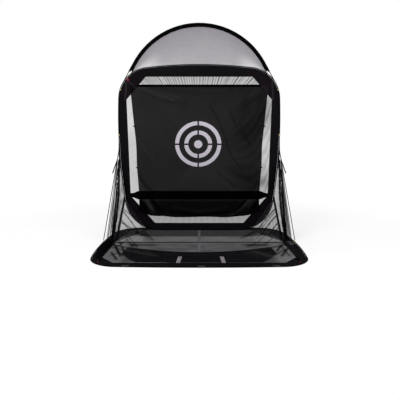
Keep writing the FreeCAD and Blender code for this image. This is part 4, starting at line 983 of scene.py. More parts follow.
# creases in the cloth: start, end, how far they bulge aside, width, depth
sheetCreases = [
    # from the lower corners, along the bottom like a hammock
    ((-0.690, 0.262), (-0.150, 0.172), -0.055, 0.020, 0.013),
    ((-0.688, 0.290), (-0.050, 0.205), -0.105, 0.024, -0.013),
    ((-0.684, 0.330), (-0.120, 0.255), -0.130, 0.026, 0.014),
    ((-0.680, 0.390), (-0.260, 0.250), -0.110, 0.026, -0.012),
    ((-0.676, 0.450), (-0.330, 0.270), -0.090, 0.028, 0.012),
    ((-0.672, 0.560), (-0.430, 0.300), -0.050, 0.030, -0.010),
    ((-0.690, 0.268), (-0.520, 0.560), 0.030, 0.030, 0.012),
    ((-0.680, 0.280), (-0.600, 0.700), 0.020, 0.026, -0.010),
    # from the side ties, down towards the middle
    ((-0.690, 0.760), (-0.500, 0.400), -0.045, 0.026, 0.012),
    ((-0.700, 0.750), (-0.590, 0.420), -0.030, 0.022, -0.010),
    ((-0.706, 1.225), (-0.420, 0.820), -0.060, 0.030, 0.010),
    ((-0.706, 1.215), (-0.520, 0.760), -0.050, 0.028, -0.009),
    # swags between the top corners
    ((-0.740, 1.660), (-0.180, 1.500), -0.080, 0.034, 0.010),
    ((-0.740, 1.640), (-0.260, 1.420), -0.090, 0.034, -0.008),
    ((-0.735, 1.600), (-0.330, 1.300), -0.080, 0.036, 0.008),
    ((-0.730, 1.560), (-0.450, 1.150), -0.060, 0.036, -0.006),
]


def levelAt(up, column):
    # smooth values between the listed levels
    rows = sheetLevels
    up = min(max(up, rows[0][0]), rows[-1][0])
    i = next(k for k in range(len(rows) - 1) if up <= rows[k + 1][0])
    before, a, b, after = rows[max(i - 1, 0)], rows[i], rows[i + 1], rows[min(i + 2, len(rows) - 1)]
    t = (up - a[0]) / (b[0] - a[0])
    slopeA = (b[column] - before[column]) / (b[0] - before[0] or 1.0) * (b[0] - a[0])
    slopeB = (after[column] - a[column]) / (after[0] - a[0] or 1.0) * (b[0] - a[0])
    return ((2 * t ** 3 - 3 * t ** 2 + 1) * a[column] + (t ** 3 - 2 * t ** 2 + t) * slopeA
            + (-2 * t ** 3 + 3 * t ** 2) * b[column] + (t ** 3 - t ** 2) * slopeB)


def creaseDepth(x, up, crease):
    (ax, ay), (bx, by), bulge, width, depth = crease
    dx, dy = bx - ax, by - ay
    length = math.hypot(dx, dy)
    share = ((x - ax) * dx + (up - ay) * dy) / (length * length)
    if not -0.05 < share < 1.1:
        return 0.0
    off = ((up - ay) * dx - (x - ax) * dy) / length - bulge * 4.0 * share * (1.0 - share)
    wide = width * (0.35 + 0.9 * max(share, 0.0))
    fade = soften((share + 0.05) / 0.12) * soften((1.1 - share) / 0.7)
    return depth * fade * math.exp(-(off / wide) ** 2)


def sheetBottom(s):
    corner = soften((abs(s) - 0.80) / 0.20)
    wave = 0.004 * math.sin(9.0 * s + 1.0) * (1.0 - corner)
    return sheetShape["low"] + 0.030 * abs(s) ** 2.0 + 0.050 * corner + wave


def sheetSpot(u, v):
    s = mix(-1.0, 1.0, u)
    up = mix(sheetBottom(s), sheetShape["top"] - sheetShape["topSag"] * (1.0 - s * s), v)
    # scalloped a little between its side ties
    scallop = 0.006 * math.sin(math.pi * soften((up - 0.25) / 0.5))
    scallop += 0.005 * math.sin(math.pi * soften((up - 0.76) / 0.46))
    return s * (levelAt(up, 1) - scallop), up


def sheetPlace(u, v):
    s = mix(-1.0, 1.0, u)
    x, up = sheetSpot(u, v)
    behind = levelAt(up, 2)
    behind -= 0.006 * (1.0 - s * s) * math.sin(math.pi * min(1.0, max(0.0, (up - 0.17) / 1.5)))
    depth = sum(creaseDepth(side * x, up, crease) for crease in sheetCreases for side in (1.0, -1.0))
    depth = max(sheetShape["creaseOut"], min(sheetShape["creaseIn"], depth))
    depth += (0.0018 * ripple(x * 3.0 + up * 2.0, up * 2.0 - x * 2.0, 7.0)
              + 0.0007 * ripple(x * 22.0, up * 7.0, 9.0))
    # shallower near the top, where the border's gussets are close in front
    free = soften((sheetShape["top"] - up) / 0.25)
    return onFrame(x, up, behind - depth * (0.25 + 0.75 * free))


# folds that show darker (-) where the cloth lies double, and lighter (+) where it lies single and lets more
# light through, as painted highlights
sheetFolds = [
    ([(-0.698, 0.417), (-0.655, 0.33), (-0.598, 0.23)], 0.016, -1.0),
    ([(-0.546, 0.38), (-0.48, 0.29), (-0.419, 0.23)], 0.014, -0.8),
    ([(-0.648, 0.479), (-0.60, 0.36), (-0.526, 0.23)], 0.018, 1.1),
    ([(-0.725, 1.199), (-0.673, 1.073), (-0.52, 0.864)], 0.016, 0.5),
    ([(-0.705, 0.685), (-0.648, 0.479), (-0.537, 0.255)], 0.015, 0.8),
    ([(-0.699, 0.697), (-0.611, 0.552), (-0.531, 0.479)], 0.016, -0.9),
    ([(0.698, 0.417), (0.655, 0.33), (0.598, 0.23)], 0.016, -1.0),
    ([(0.546, 0.38), (0.47, 0.29), (0.40, 0.22)], 0.014, -0.8),
    ([(0.611, 0.417), (0.50, 0.29), (0.356, 0.179)], 0.018, 1.1),
    ([(0.705, 0.685), (0.648, 0.479), (0.57, 0.30)], 0.015, 0.5),
    ([(-0.77, 1.695), (-0.50, 1.585), (-0.279, 1.511)], 0.014, 0.65),
    ([(-0.727, 1.685), (-0.45, 1.60), (-0.213, 1.533)], 0.010, 0.5),
    ([(-0.60, 1.60), (-0.40, 1.50), (-0.15, 1.47)], 0.020, -0.35),
    ([(-0.464, 1.663), (-0.10, 1.622), (0.274, 1.609)], 0.014, 0.45),
    ([(0.594, 1.587), (0.431, 1.489)], 0.014, 0.45), ([(0.66, 1.56), (0.47, 1.42)], 0.014, -0.4),
    ([(0.12, 1.445), (0.188, 1.334), (0.27, 1.142), (0.354, 0.899), (0.496, 0.721)], 0.009, -0.7),
    ([(0.321, 1.412), (0.427, 1.188), (0.556, 1.027)], 0.009, -0.6),
    ([(0.437, 1.256), (0.568, 1.027)], 0.009, -0.6), ([(0.206, 0.721), (0.408, 0.528)], 0.010, -0.6),
    ([(-0.30, 0.30), (0.0, 0.235), (0.30, 0.29)], 0.014, 0.35),
    ([(-0.36, 0.235), (0.0, 0.19), (0.36, 0.235)], 0.012, -0.5),
]


def sheetThicknessAndHighlights(u, v):
    # how much more the cloth holds back the light: 0 thin, 1 doubled; less along the lighter folds, which are
    # painted highlights
    x, up = sheetSpot(u, v)
    heldBack = 0.40 + 0.05 * x + 0.06 * (1.0 - v) + 0.08 * soften((up - 1.25) / 0.3)
    heldBack -= 0.10 * soften((-x - 0.1) / 0.5) * soften((up - 1.0) / 0.5)
    low = soften((0.40 - up) / 0.05)
    heldBack = mix(heldBack, 0.88, low) - strokes(x, up, sheetFolds) * mix(0.32, 0.36, low)
    hemmed = soften((0.012 - (up - sheetBottom(mix(-1.0, 1.0, u)))) / 0.004)
    return min(1.0, max(0.0, heldBack, hemmed))


# printed rings: the middle disc and the two rings' edges, and half the gap that cuts the rings in four
target = {"x": -0.011, "z": 1.0185, "edges": (0.045, 0.110, 0.154, 0.212, 0.255), "gap": 0.009,
          "clothDark": (0.0006, 0.0005, 0.0007), "clothLight": (0.0014, 0.0012, 0.0016),
          "inkDark": (0.47, 0.44, 0.495), "inkLight": (0.55, 0.515, 0.575)}


def makeTargetMaterial():
    material, tree, shader, where = startMaterial("targetCloth", {"roughness": 0.85, "specular": 0.0})
    parts = splitVector(tree, where["Object"])
    across = calc(tree, "SUBTRACT", parts["X"], target["x"])
    rise = calc(tree, "DIVIDE", calc(tree, "SUBTRACT", parts["Z"], target["z"]), math.cos(lean))
    squares = [calc(tree, "MULTIPLY", value, value) for value in (across, rise)]
    reach = calc(tree, "SQRT", calc(tree, "ADD", *squares))
    disc, *bands = [calc(tree, "LESS_THAN", reach, edge) for edge in target["edges"]]
    inner = calc(tree, "SUBTRACT", bands[1], bands[0])
    outer = calc(tree, "SUBTRACT", bands[3], bands[2])
    cut = calc(tree, "MULTIPLY", *[calc(tree, "GREATER_THAN", calc(tree, "ABSOLUTE", value), target["gap"])
                                   for value in (across, rise)])
    printed = calc(tree, "MAXIMUM", disc, calc(tree, "MULTIPLY", calc(tree, "ADD", inner, outer), cut))
    mottle = useGroup(tree, mottleGroup, Vector=where["Object"], Scale=5.0)
    weave = useGroup(tree, weaveGroup, Vector=where["UV"], Thread=0.0022)
    cloth = blendColours(tree, mottle["Patches"], target["clothDark"], target["clothLight"])
    ink = blendColours(tree, weave["Height"], target["inkDark"], target["inkLight"])
    worn = calc(tree, "MULTIPLY", printed, calc(tree, "MULTIPLY_ADD", mottle["Patches"], 0.08, 0.92))
    # the print hardly shows from behind
    facing = addNode(tree, "NewGeometry").outputs["Backfacing"]
    worn = calc(tree, "MULTIPLY", worn, calc(tree, "MULTIPLY_ADD", facing, -0.93, 1.0))
    feed(tree, blendColours(tree, worn, cloth, ink), shader["Base Color"])
    # the thin cloth lets a little light through between its threads
    thinness = calc(tree, "MULTIPLY_ADD", weave["Height"], 0.016, 0.036)
    # the gather attribute holds the sheet's thickness and its painted fold highlights
    through = calc(tree, "MULTIPLY", thinness, calc(tree, "SUBTRACT", 1.0, attributeOf(tree, "gather")))
    feed(tree, calc(tree, "MAXIMUM", calc(tree, "SUBTRACT", 1.0, through), printed), shader["Alpha"])
    creased = bumpOf(tree, mottle["Creases"], 0.004, 0.35)
    feed(tree, bumpOf(tree, weave["Height"], 0.0005, 0.5, creased), shader["Normal"])
    return material


finishes["targetCloth"] = makeTargetMaterial()
targetSheet = sewGrid("targetSheet", 260, 240, sheetPlace, (1.43, 1.50), gather=sheetThicknessAndHighlights)
dress(targetSheet, "targetCloth", "main_frame", ["target_sheet"])


def frameStrip(name, start, finish, width, behind, columns=16):
    face = onFrame(0, 0, 1) - onFrame(0, 0, 0)
    return webbingStrip(name, onFrame(*start, behind), onFrame(*finish, behind), width, face, wave=0.0002,
                        columns=columns)


sheetHem = {"half": 0.745, "up": 1.659, "width": 0.026, "behind": 0.0128}
topHem = frameStrip("sheetTopHem", (-sheetHem["half"], sheetHem["up"]), (sheetHem["half"], sheetHem["up"]),
                    sheetHem["width"], sheetHem["behind"], 80)
dress(topHem, "strapWebbing", "main_frame", ["sheet_top_hem"])

# the right-hand ties at the sheet's upper and lower corners: start, end, place behind the frame's plane
tieWidth = 0.016
tiePlaces = [((0.725, 1.648), (0.771, 1.710), 0.0018), ((0.668, 0.254), (0.726, 0.228), -0.0018)]
cornerTies = []
for side in (-1.0, 1.0):
    for (ax, ay), (bx, by), behind in tiePlaces:
        cornerTies.append(frameStrip("tie", (side * ax, ay), (side * bx, by), tieWidth, behind))
dress(joinPieces("sheetCornerTies", cornerTies), "strapWebbing", "main_frame",
      ["sheet_corner_ties"])

# tabs at the sheet's sides: how far up each is, its half width, and how far behind at the right and left
sideTab = {"inner": 0.014, "outer": 0.012, "width": 0.012, "behind": 0.001,
           "places": ((0.760, 0.6983, -0.0108, -0.0121), (1.225, 0.7128, -0.0049, -0.0064))}
sideTabs = []
for up, half, right, left in sideTab["places"]:
    for side, behind in ((1.0, right), (-1.0, left)):
        ends = [(side * (half - sideTab["inner"]), up), (side * (half + sideTab["outer"]), up)]
        sideTabs.append(frameStrip("tab", *ends, sideTab["width"], behind + sideTab["behind"], 6))
dress(joinPieces("sheetSideTabs", sideTabs), "strapWebbing", "main_frame",
      ["sheet_side_tabs"])

band = {"low": 0.379, "high": 0.481, "end": 0.801, "endHeight": 0.052, "shoulder": 0.690, "waist": 0.765,
        "behind": 0.0018}


def bandPlace(u, v):
    x = mix(-1.0, 1.0, u) * band["end"]
    narrow = soften((abs(x) - band["shoulder"]) / (band["waist"] - band["shoulder"]))
    height = mix(band["high"] - band["low"], band["endHeight"], narrow)
    height += 0.002 * ripple(x * 12.0, 3.0, 1.0)
    middle = (band["low"] + band["high"]) / 2.0
    behind = band["behind"] + 0.0002 * ripple(x * 8.0, v * 3.0, 2.0)
    return onFrame(x, middle + mix(-0.5, 0.5, v) * height, behind)


reboundBand = thicken(sewGrid("reboundStrap", 140, 8, bandPlace, (1.602, 0.102)), 0.0013)
dress(reboundBand, "strapWebbing", "main_frame", ["rebound_strap"])
print("target hung")

# the shallow bag behind the window: octagons from the rim to the back, as half outlines from low to high
bagRings = [
    (0.0036, [(0.520, 0.080), (0.797, 0.420), (0.797, 1.665), (0.705, 1.766)]),
    (0.0036, [(0.515, 0.092), (0.785, 0.425), (0.785, 1.660), (0.700, 1.754)]),
    (0.070, [(0.5026, 0.110), (0.755, 0.4254), (0.755, 1.6156), (0.6676, 1.712)]),
    (0.117, [(0.4446, 0.207), (0.615, 0.4404), (0.615, 1.3786), (0.4846, 1.529)]),
    (0.117, [(0.001, 0.870)] * 4),
]
bagShares = [0.0, 0.03, 0.27, 0.50, 1.0]
# the sides: lower right, right, upper right, top, upper left, left, lower left; the bottom has the rest
bagSpans = [0.095, 0.23, 0.03, 0.275, 0.03, 0.23, 0.095]
bagSpans.append(1.0 - sum(bagSpans))


def bagOutline(half, at):
    corners = half + [(-a, b) for a, b in reversed(half)]
    last = len(corners) - 1
    for i, span in enumerate(bagSpans):
        if at <= span or i == last:
            share = min(1.0, at / span)
            a, b = corners[i], corners[(i + 1) % len(corners)]
            return mix(a[0], b[0], share), mix(a[1], b[1], share)
        at -= span


def bagPlace(u, v):
    u = u % 1.0
    i = next((k for k in range(len(bagShares) - 1) if v <= bagShares[k + 1]), len(bagShares) - 2)
    share = (v - bagShares[i]) / (bagShares[i + 1] - bagShares[i])
    depthA, halfA = bagRings[i]
    depthB, halfB = bagRings[i + 1]
    a, b = bagOutline(halfA, u), bagOutline(halfB, u)
    x, up, behind = mix(a[0], b[0], share), mix(a[1], b[1], share), mix(depthA, depthB, share)
    behind += soften((v - 0.05) / 0.2) * 0.010 * (ripple(x * 3.0, up * 2.2, 6.0) - 0.3)
    return onFrame(x, up, max(behind, bagRings[0][0]))


def bagGather(u, v):
    x, up = bagOutline(bagRings[1][1], u % 1.0)
    if up > 1.70 and abs(x) < 0.7:
        # streaks where the top is gathered on its elastic
        streak = 0.5 + 0.5 * math.sin(x * 210.0 + 6.0 * ripple(x * 9.0, 1.0, 1.0))
        streak = 0.24 + 1.05 * streak ** 2 * (0.6 + 0.6 * ripple(x * 30.0, 2.0, 2.0))
        return streak * soften((0.55 - v) / 0.3)
    if up < 0.2:
        return 0.5 * soften((0.9 - v) / 0.4)
    fold = max(0.0, ripple(up * 14.0, x * 5.0, v * 20.0))
    if x < 0.0:
        return 0.08 + 0.12 * soften((1.25 - up) / 0.3) + 0.10 * fold
    # the right side is drawn together higher up and lower down
    dense = 0.26 + 0.32 * math.exp(-((up - 1.40) / 0.17) ** 2) + 0.36 * math.exp(-((up - 0.58) / 0.16) ** 2)
    slant = math.sin(up * 34.0 + v * 22.0 + 2.0 * ripple(up * 5.0, v * 6.0, 1.0))
    return (dense + 0.10 * slant + 0.08 * fold) * soften((0.9 - v) / 0.4)


backNet = sewGrid("backNet", 480, 60, bagPlace, (4.6, 1.2), gather=bagGather, closed=True)
dress(backNet, "bagNetting", "main_frame", ["back_net"])

# the elastic that the bag's top is gathered on, finely ribbed
elastic = {"up": 1.760, "behind": 0.0072, "across": (-0.570, -0.2, 0.2, 0.570), "radius": 0.0024,
           "ribs": 700.0}
elasticLine = spline([onFrame(x, elastic["up"], elastic["behind"]) for x in elastic["across"]], 60)
elasticTube = tube("gatherElastic", elasticLine, elastic["radius"],
                   shape=lambda share, angle: 1.0 + 0.12 * math.sin(share * elastic["ribs"]))
dress(elasticTube, "hemCloth", "main_frame", ["gather_elastic"])
print("bag sewn")

# the roof: a cloth tunnel over the bent pole, with a flap that the net is sewn to
arch = {"centre": 1.482, "radius": 0.808, "behind": 0.0105, "leave": math.radians(58.985), "straight": 0.105,
        "tunnel": 0.00705, "tunnelCloth": 0.0009, "flapFrom": 0.0066, "flap": 0.0347, "flapCloth": 0.0015,
        "columns": 260}
roofShape = {"arch": 0.77305, "ring": 0.0254, "corner": (0.717, 1.80), "behind": 0.0118, "sag": 0.010,
             "half": 0.72, "columns": 160}


def archAt(share, radius):
    # a place on a line beside the pole's arch, and the direction towards the arch's middle
    bend = 2.0 * arch["leave"] * radius
    whole = bend + 2.0 * arch["straight"]
    along = mix(-whole / 2.0, whole / 2.0, share)
    turn = max(-arch["leave"], min(arch["leave"], along / radius))
    beyond = max(0.0, abs(along) - bend / 2.0)
    side = 1.0 if along > 0 else -1.0
    x = radius * math.sin(turn) + side * beyond * math.cos(arch["leave"])
    up = arch["centre"] + radius * math.cos(turn) - beyond * math.sin(arch["leave"])
    return x, up, (-math.sin(turn), -math.cos(turn))


def tunnelPlace(u, v):
    x, up, (ix, iu) = archAt(u, arch["radius"])
    angle = 2.0 * math.pi * v
    reach = arch["tunnel"] + 0.0004 * ripple(u * 160.0, 2.0 * math.cos(angle), 2.0 * math.sin(angle)) - 0.0002
    inward = math.cos(angle) * reach
    return onFrame(x + ix * inward, up + iu * inward, arch["behind"] + math.sin(angle) * reach)


def flapPlace(u, v):
    x, up, (ix, iu) = archAt(u, arch["radius"])
    inward = mix(arch["flapFrom"], arch["flap"], v)
    return onFrame(x + ix * inward, up + iu * inward,
                   arch["behind"] + 0.0003 * ripple(u * 40.0, v * 2.0, 3.0))


tunnel = sewGrid("tunnel", arch["columns"], 14, tunnelPlace, (1.9, 0.044), closed=True)
thicken(tunnel, arch["tunnelCloth"], -1.0)
flap = thicken(sewGrid("flap", arch["columns"], 4, flapPlace, (1.9, 0.028)), arch["flapCloth"])
dress(joinPieces("roofSleeve", [tunnel, flap]), "hemCloth", "main_frame", ["roof_sleeve"])

cornerX, cornerUp = roofShape["corner"]
roofLow = ringPart(ringLine(frameRing, roofShape["ring"]), (cornerX, cornerUp), (-cornerX, cornerUp),
                   roofShape["columns"])


def roofPlace(u, v):
    x0, up0 = roofLow[round((1.0 - u) * roofShape["columns"])]
    x1, up1, _ = archAt(u, roofShape["arch"])
    x, up = mix(x0, x1, v), mix(up0, up1, v)
    sag = roofShape["sag"] * math.sin(math.pi * v) * (1.0 - (x / roofShape["half"]) ** 2)
    return onFrame(x, up, roofShape["behind"] + sag * 0.5 + 0.0012 * ripple(x * 4.0, up * 5.0, 2.0))


def roofGather(u, v):
    # closer towards the arch, and along both sewn edges
    corner = soften((abs(u - 0.5) - 0.24) / 0.14) * soften((0.8 - v) / 0.6)
    return 0.30 * v ** 1.5 + 0.25 * soften((v - 0.965) / 0.03) - 0.22 * (1.0 - v) ** 1.5 - 0.75 * corner


roofNet = sewGrid("roofNet", roofShape["columns"], 60, roofPlace, (1.5, 0.45), gather=roofGather)
dress(roofNet, "roofNetting", "main_frame", ["roof_net"])

roofTie = {"in": 0.02, "top": (0.004, 0.016), "low": (0.018, -0.036), "width": 0.016, "behind": 0.0082}
roofTies = []
for side in (-1.0, 1.0):
    x, up, _ = archAt(0.5 + side * 0.5, arch["radius"] - roofTie["in"])
    ends = [(x - side * aside, up + rise) for aside, rise in (roofTie["top"], roofTie["low"])]
    roofTies.append(frameStrip("tie", *ends, roofTie["width"], roofTie["behind"]))
dress(joinPieces("roofCornerTies", roofTies), "whiteElastic", "main_frame",
      ["roof_corner_ties"])

inFront = -0.0018  # just in front of the border's cloth
pocket = {"low": (0.798, 1.512), "top": (0.778, 1.708), "width": 0.022}
pockets = []
for side in (-1.0, 1.0):
    ends = [(side * x, up) for x, up in (pocket["low"], pocket["top"])]
    pockets.append(frameStrip("pocket", *ends, pocket["width"], inFront, 30))
dress(joinPieces("cornerPockets", pockets), "pocketCloth", "main_frame", ["corner_pockets"])
frameTag = {"low": (-0.760, 1.712), "top": (-0.760, 1.738), "width": 0.018}
tagStrip = frameStrip("frameTag", frameTag["low"], frameTag["top"], frameTag["width"], inFront, 8)
dress(tagStrip, "redTag", "main_frame", ["frame_tag"])
print("roof sewn")


# the nets between the frame and the base


def cornerNet(name, columns, rows, rear, front, top, belly, gather, size):
    # a triangle of net between two places on the base and one on the leg, hanging a little inward
    inward = (front - rear).cross(top - rear).normalized()
    if inward.x * top.x > 0:
        inward = -inward

    def place(u, v):
        low = rear.lerp(front, u)
        point = low.lerp(top, v)
        slack = math.sin(math.pi * u) * math.sin(math.pi * min(1.0, v * 1.1)) * (1.0 - v)
        fold = 0.004 * math.sin(u * 60.0) * (1.0 - v) * soften(v / 0.1)
        return point + inward * (belly * slack + fold)

    return sewGrid(name, columns, rows, place, size, gather=gather, closed=True)


def fan(u, v, lines):
    # strands that stay as wide while the net narrows towards its peak
    return max(math.exp(-((u - place) * (1.05 - v) / width) ** 2) * dark for place, dark, width in lines)


# strands that run down from the leg: how far forward at the base, how dark and how wide
outerLines = {
    -1.0: [(0.03, 0.9, 0.05), (0.17, 0.6, 0.03), (0.29, 0.7, 0.03), (0.61, 1.0, 0.065), (0.81, 0.2, 0.02),
           (0.97, 1.0, 0.055)],
    1.0: [(0.03, 0.9, 0.05), (0.14, 0.6, 0.03), (0.26, 0.95, 0.045), (0.40, 1.0, 0.05), (0.52, 0.6, 0.03),
          (0.64, 1.0, 0.055), (0.80, 0.5, 0.03), (0.97, 1.0, 0.055)],
}
# creases as shares of the triangle: how far forward from the rear corner, and how far up
sideCreases = {
    -1.0: [([(0.30, 0.70), (0.31, 0.0)], 0.020, 0.85), ([(0.56, 0.44), (0.33, 0.0)], 0.020, 0.85),
           ([(0.49, 0.51), (0.53, 0.0)], 0.016, 0.7), ([(0.78, 0.22), (0.65, 0.0)], 0.016, 0.6),
           ([(0.25, 0.75), (0.12, 0.35), (0.05, 0.05)], 0.028, 0.6)],
    1.0: [([(0.24, 0.76), (0.20, 0.10)], 0.020, 0.85), ([(0.40, 0.60), (0.39, 0.0)], 0.020, 0.85),
          ([(0.57, 0.43), (0.59, 0.0)], 0.018, 0.8), ([(0.67, 0.33), (0.68, 0.0)], 0.016, 0.7),
          ([(0.30, 0.70), (0.28, 0.05)], 0.016, 0.6), ([(0.12, 0.60), (0.06, 0.20)], 0.020, 0.6)],
}
densest = 0.97  # a drawn strand or seam still lets a little through


def outerGather(side):
    # clear towards the front, closer towards the leg and low down beside the gathered net
    close, low, base = (0.85, 0.50, 0.0) if side < 0 else (0.75, 0.90, 0.42)

    def gather(u, v):
        wedge = close * soften((0.66 - u) / 0.30) * soften((low - v) / 0.25)
        wedge *= 0.8 + 0.6 * ripple(u * 12.0, v * 20.0, side)
        drawn = fan(u, v, outerLines[side]) * (0.95 + 0.25 * ripple(u * 9.0, v * 14.0, side))
        return min(densest, base + wedge + 0.25 * soften((0.3 - u) / 0.25) + drawn * (1.0 - base))
    return gather


def sideGather(side):
    dense = 0.0 if side < 0 else 0.20

    def gather(u, v):
        drawn = strokes(u * (1.0 - v), v, sideCreases[side])
        drawn += 0.14 * math.sin(40.0 * u + 9.0 * v) * (1.0 - v) ** 2 + 0.25 * soften((0.25 - v) / 0.25)
        strapEdge = densest * soften((u * (1.0 - v) + v - 0.955) / 0.02)
        return min(densest, max(dense + drawn, strapEdge, 0.6 * soften((0.02 - v) / 0.02)))
    return gather


bunch = {"top": 0.860, "off": 0.0093, "radii": (0.010, 0.015, 0.020, 0.023, 0.020), "lobes": 7, "foot": 0.300,
         "inset": 0.0464, "level": 0.0021, "bend": (0.024, 0.028)}


def bunchCentre(side, share):
    # the middle of the gathered net, from its top on the leg to its foot on the base
    top = onFrame(side * (sideOf(frameEdge, bunch["top"]) + bunch["off"]), bunch["top"], -hemRadius)
    foot = Vector((side * (sideOf(baseEdge, bunch["foot"]) - bunch["inset"]), bunch["foot"], bunch["level"]))
    bend = math.sin(math.pi * share)
    return top.lerp(foot, share) - Vector((side * bunch["bend"][0] * bend, bunch["bend"][1] * bend, 0.0))


def makeBunch(side, word):
    # a gathered net: deep pleats that run down and twist a little

    def place(u, v):
        share = 1.0 - v
        at = share * 4.0
        k = min(3, int(at))
        radius = mix(bunch["radii"][k], bunch["radii"][k + 1], at - k)
        angle = 2.0 * math.pi * u
        pleat = math.cos(bunch["lobes"] * angle + 2.0 * share + 1.5 * ripple(share * 5.0, angle, side))
        small = math.cos(17.0 * angle + 9.0 * share)
        ragged = 0.30 * ripple(share * 30.0, 2.0 * math.cos(angle), 2.0 * math.sin(angle) + side)
        reach = radius * (0.78 + 0.20 * pleat + 0.07 * small + ragged)
        reach *= min(1.0, 40.0 * share) * min(1.0, 60.0 * v)
        return bunchCentre(side, share) + Vector((math.cos(angle) * reach, math.sin(angle) * reach, 0.0))

    def gather(u, v):
        pleats = 0.10 + 0.45 * max(0.0, math.cos(bunch["lobes"] * 2.0 * math.pi * u + 2.0 * (1.0 - v)))
        return max(pleats, 0.95 * soften((v - 0.72) / 0.15))

    piece = sewGrid("sideBunch" + word.capitalize(), 96, 110, place, (0.26, 0.88), gather=gather, closed=True)
    dress(piece, "bunchNetting", None, ["side_bunch_" + word])
    top, foot = bunchCentre(side, 0.0), bunchCentre(side, 1.0)
    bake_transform(piece)
    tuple(foot)


# reach is the share of its height that is beside the gathered net, and tip is how far up the leg it ends
upper = {"foot": (0.890, 0.141, 0.0030), "reach": 0.88, "tip": 0.975, "tipOff": 0.002}


def makeUpperNet(side, word):
    # the net between the leg, the strap and the gathered net, ragged where it is drawn together
    foot = Vector((side * upper["foot"][0], *upper["foot"][1:]))
    knee = onFrame(side * (sideOf(frameEdge, straps["leg"]) - hemRadius), straps["leg"], -0.0110)

    def place(u, v):
        if v <= upper["reach"]:
            outer = bunchCentre(side, 1.0 - v / upper["reach"])
        else:
            share = (v - upper["reach"]) / (1.0 - upper["reach"])
            up = mix(bunch["top"], upper["tip"], share)
            outer = onFrame(side * (sideOf(frameEdge, up) + mix(bunch["off"], upper["tipOff"], share)),
                            up, -0.0068)
        if v < 0.5:
            inner = foot.lerp(knee, v / 0.5)
        else:
            up = mix(straps["leg"], upper["tip"], (v - 0.5) / 0.5)
            inner = onFrame(side * (sideOf(frameEdge, up) - 0.003), up, -0.0080)
        loose = math.sin(math.pi * u) * math.sin(math.pi * v)
        aside = side * 0.010 * loose * ripple(u * 5.0, v * 9.0, side * 3.0)
        return outer.lerp(inner, u) + Vector((aside, -0.012 * loose, 0.0))

    def gather(u, v):
        beside = 0.85 * soften((0.45 - u) / 0.35) * (0.6 + 0.9 * ripple(v * 26.0, u * 6.0, side))
        strap = densest * soften((u - 0.88) / 0.05) * soften((0.54 - v) / 0.06)
        patches = (0.40 if side < 0 else 0.16) * (0.8 + 1.4 * ripple(v * 15.0, u * 3.0, side * 5.0))
        return min(densest, max(beside + patches, strap, densest * soften((v - 0.74) / 0.08)))

    piece = sewGrid("upperNet" + word.capitalize(), 36, 120, place, (0.12, 0.98), gather=gather, closed=True)
    dress(piece, "upperNetting")
    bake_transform(piece)


lowest = 0.0022  # the middle of a net's edge that is sewn to the ground border
sideShape = {"low": (0.600, 0.643), "foot": (0.890, 0.141), "leg": 0.420, "up": 0.394, "behind": -0.0080,
             "belly": 0.020}
outerShape = {"rear": 0.420, "front": 0.124, "inset": 0.0284, "peak": 0.930, "off": 0.012, "behind": -0.008,
              "belly": 0.012}


def makeSideNet(side, word):
    low, foot = [Vector((side * x, y, lowest)) for x, y in (sideShape["low"], sideShape["foot"])]
    top = onFrame(side * (sideOf(frameEdge, sideShape["leg"]) - hemRadius), sideShape["up"],
                  sideShape["behind"])
    piece = cornerNet("sideNet" + word.capitalize(), 130, 70, low, foot, top, sideShape["belly"],
                      sideGather(side), (0.58, 0.44))
    dress(piece, "sideNetting", None, ["side_net_" + word])
    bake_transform(piece)


def makeOuterNet(side, word):
    rear, front = [Vector((side * (sideOf(baseEdge, y) - outerShape["inset"]), y, lowest))
                   for y in (outerShape["rear"], outerShape["front"])]
    up = outerShape["peak"]
    peak = onFrame(side * (sideOf(frameEdge, up) + outerShape["off"]), up, outerShape["behind"])
    piece = cornerNet("outerNet" + word.capitalize(), 200, 50, rear, front, peak, outerShape["belly"],
                      outerGather(side), (0.30, 0.94))
    dress(piece, "outerNetting", None, ["outer_net_" + word])
    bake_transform(piece)


for side, word in ((-1.0, "left"), (1.0, "right")):
    makeSideNet(side, word)
    makeOuterNet(side, word)
    makeBunch(side, word)
    makeUpperNet(side, word)

heap = {"middle": -0.145, "length": 0.690, "width": 0.092, "height": 0.036, "inset": 0.0664, "level": 0.0021}


def heapPlace(u, v):
    # the loose end of the left gathered net, folded over itself in long ridges
    share = mix(-1.0, 1.0, v)
    y = heap["middle"] + share * heap["length"] / 2.0
    size = max(0.0, (1.0 - abs(share) ** 2.6)) ** 0.5
    x = -(sideOf(baseEdge, y) - heap["inset"])
    angle = 2.0 * math.pi * u
    pleat = 0.86 + 0.13 * math.cos(6.0 * angle + 3.0 * share + 2.0 * ripple(share * 3.0, angle, 2.0))
    pleat += 0.08 * ripple(share * 14.0, 2.0 * math.cos(angle), 2.0 * math.sin(angle))
    a = math.cos(angle) * heap["width"] / 2.0 * size * pleat
    b = (0.5 + 0.5 * math.sin(angle)) * heap["height"] * size * pleat
    return Vector((x + a, y, heap["level"] + b))


netTail = sewGrid("netTail", 90, 110, heapPlace, (0.24, 0.70), gather=lambda u, v: 0.5, closed=True)
dress(netTail, "heapNetting", "base", ["net_tail"])

# a loose scrap of the right gathered net, under the slack cord
scrap = {"across": 0.978, "along": 0.075, "wide": 0.058, "long": 0.15, "level": 0.0022, "fold": 0.0085}


def scrapPlace(u, v):
    x = scrap["across"] + mix(-0.5, 0.5, u) * scrap["wide"] * (0.6 + 0.4 * math.sin(math.pi * v))
    x -= 0.06 * (v - 0.5) * (v - 0.2)
    y = scrap["along"] + mix(-0.5, 0.5, v) * scrap["long"]
    fold = 0.5 + 0.5 * math.sin(u * 14.0 + 4.0 * v + 3.0 * ripple(u * 3.0, v * 4.0, 1.0))
    return Vector((x, y, scrap["level"] + scrap["fold"] * fold * math.sin(math.pi * v)
                   * math.sin(math.pi * u) ** 0.5))


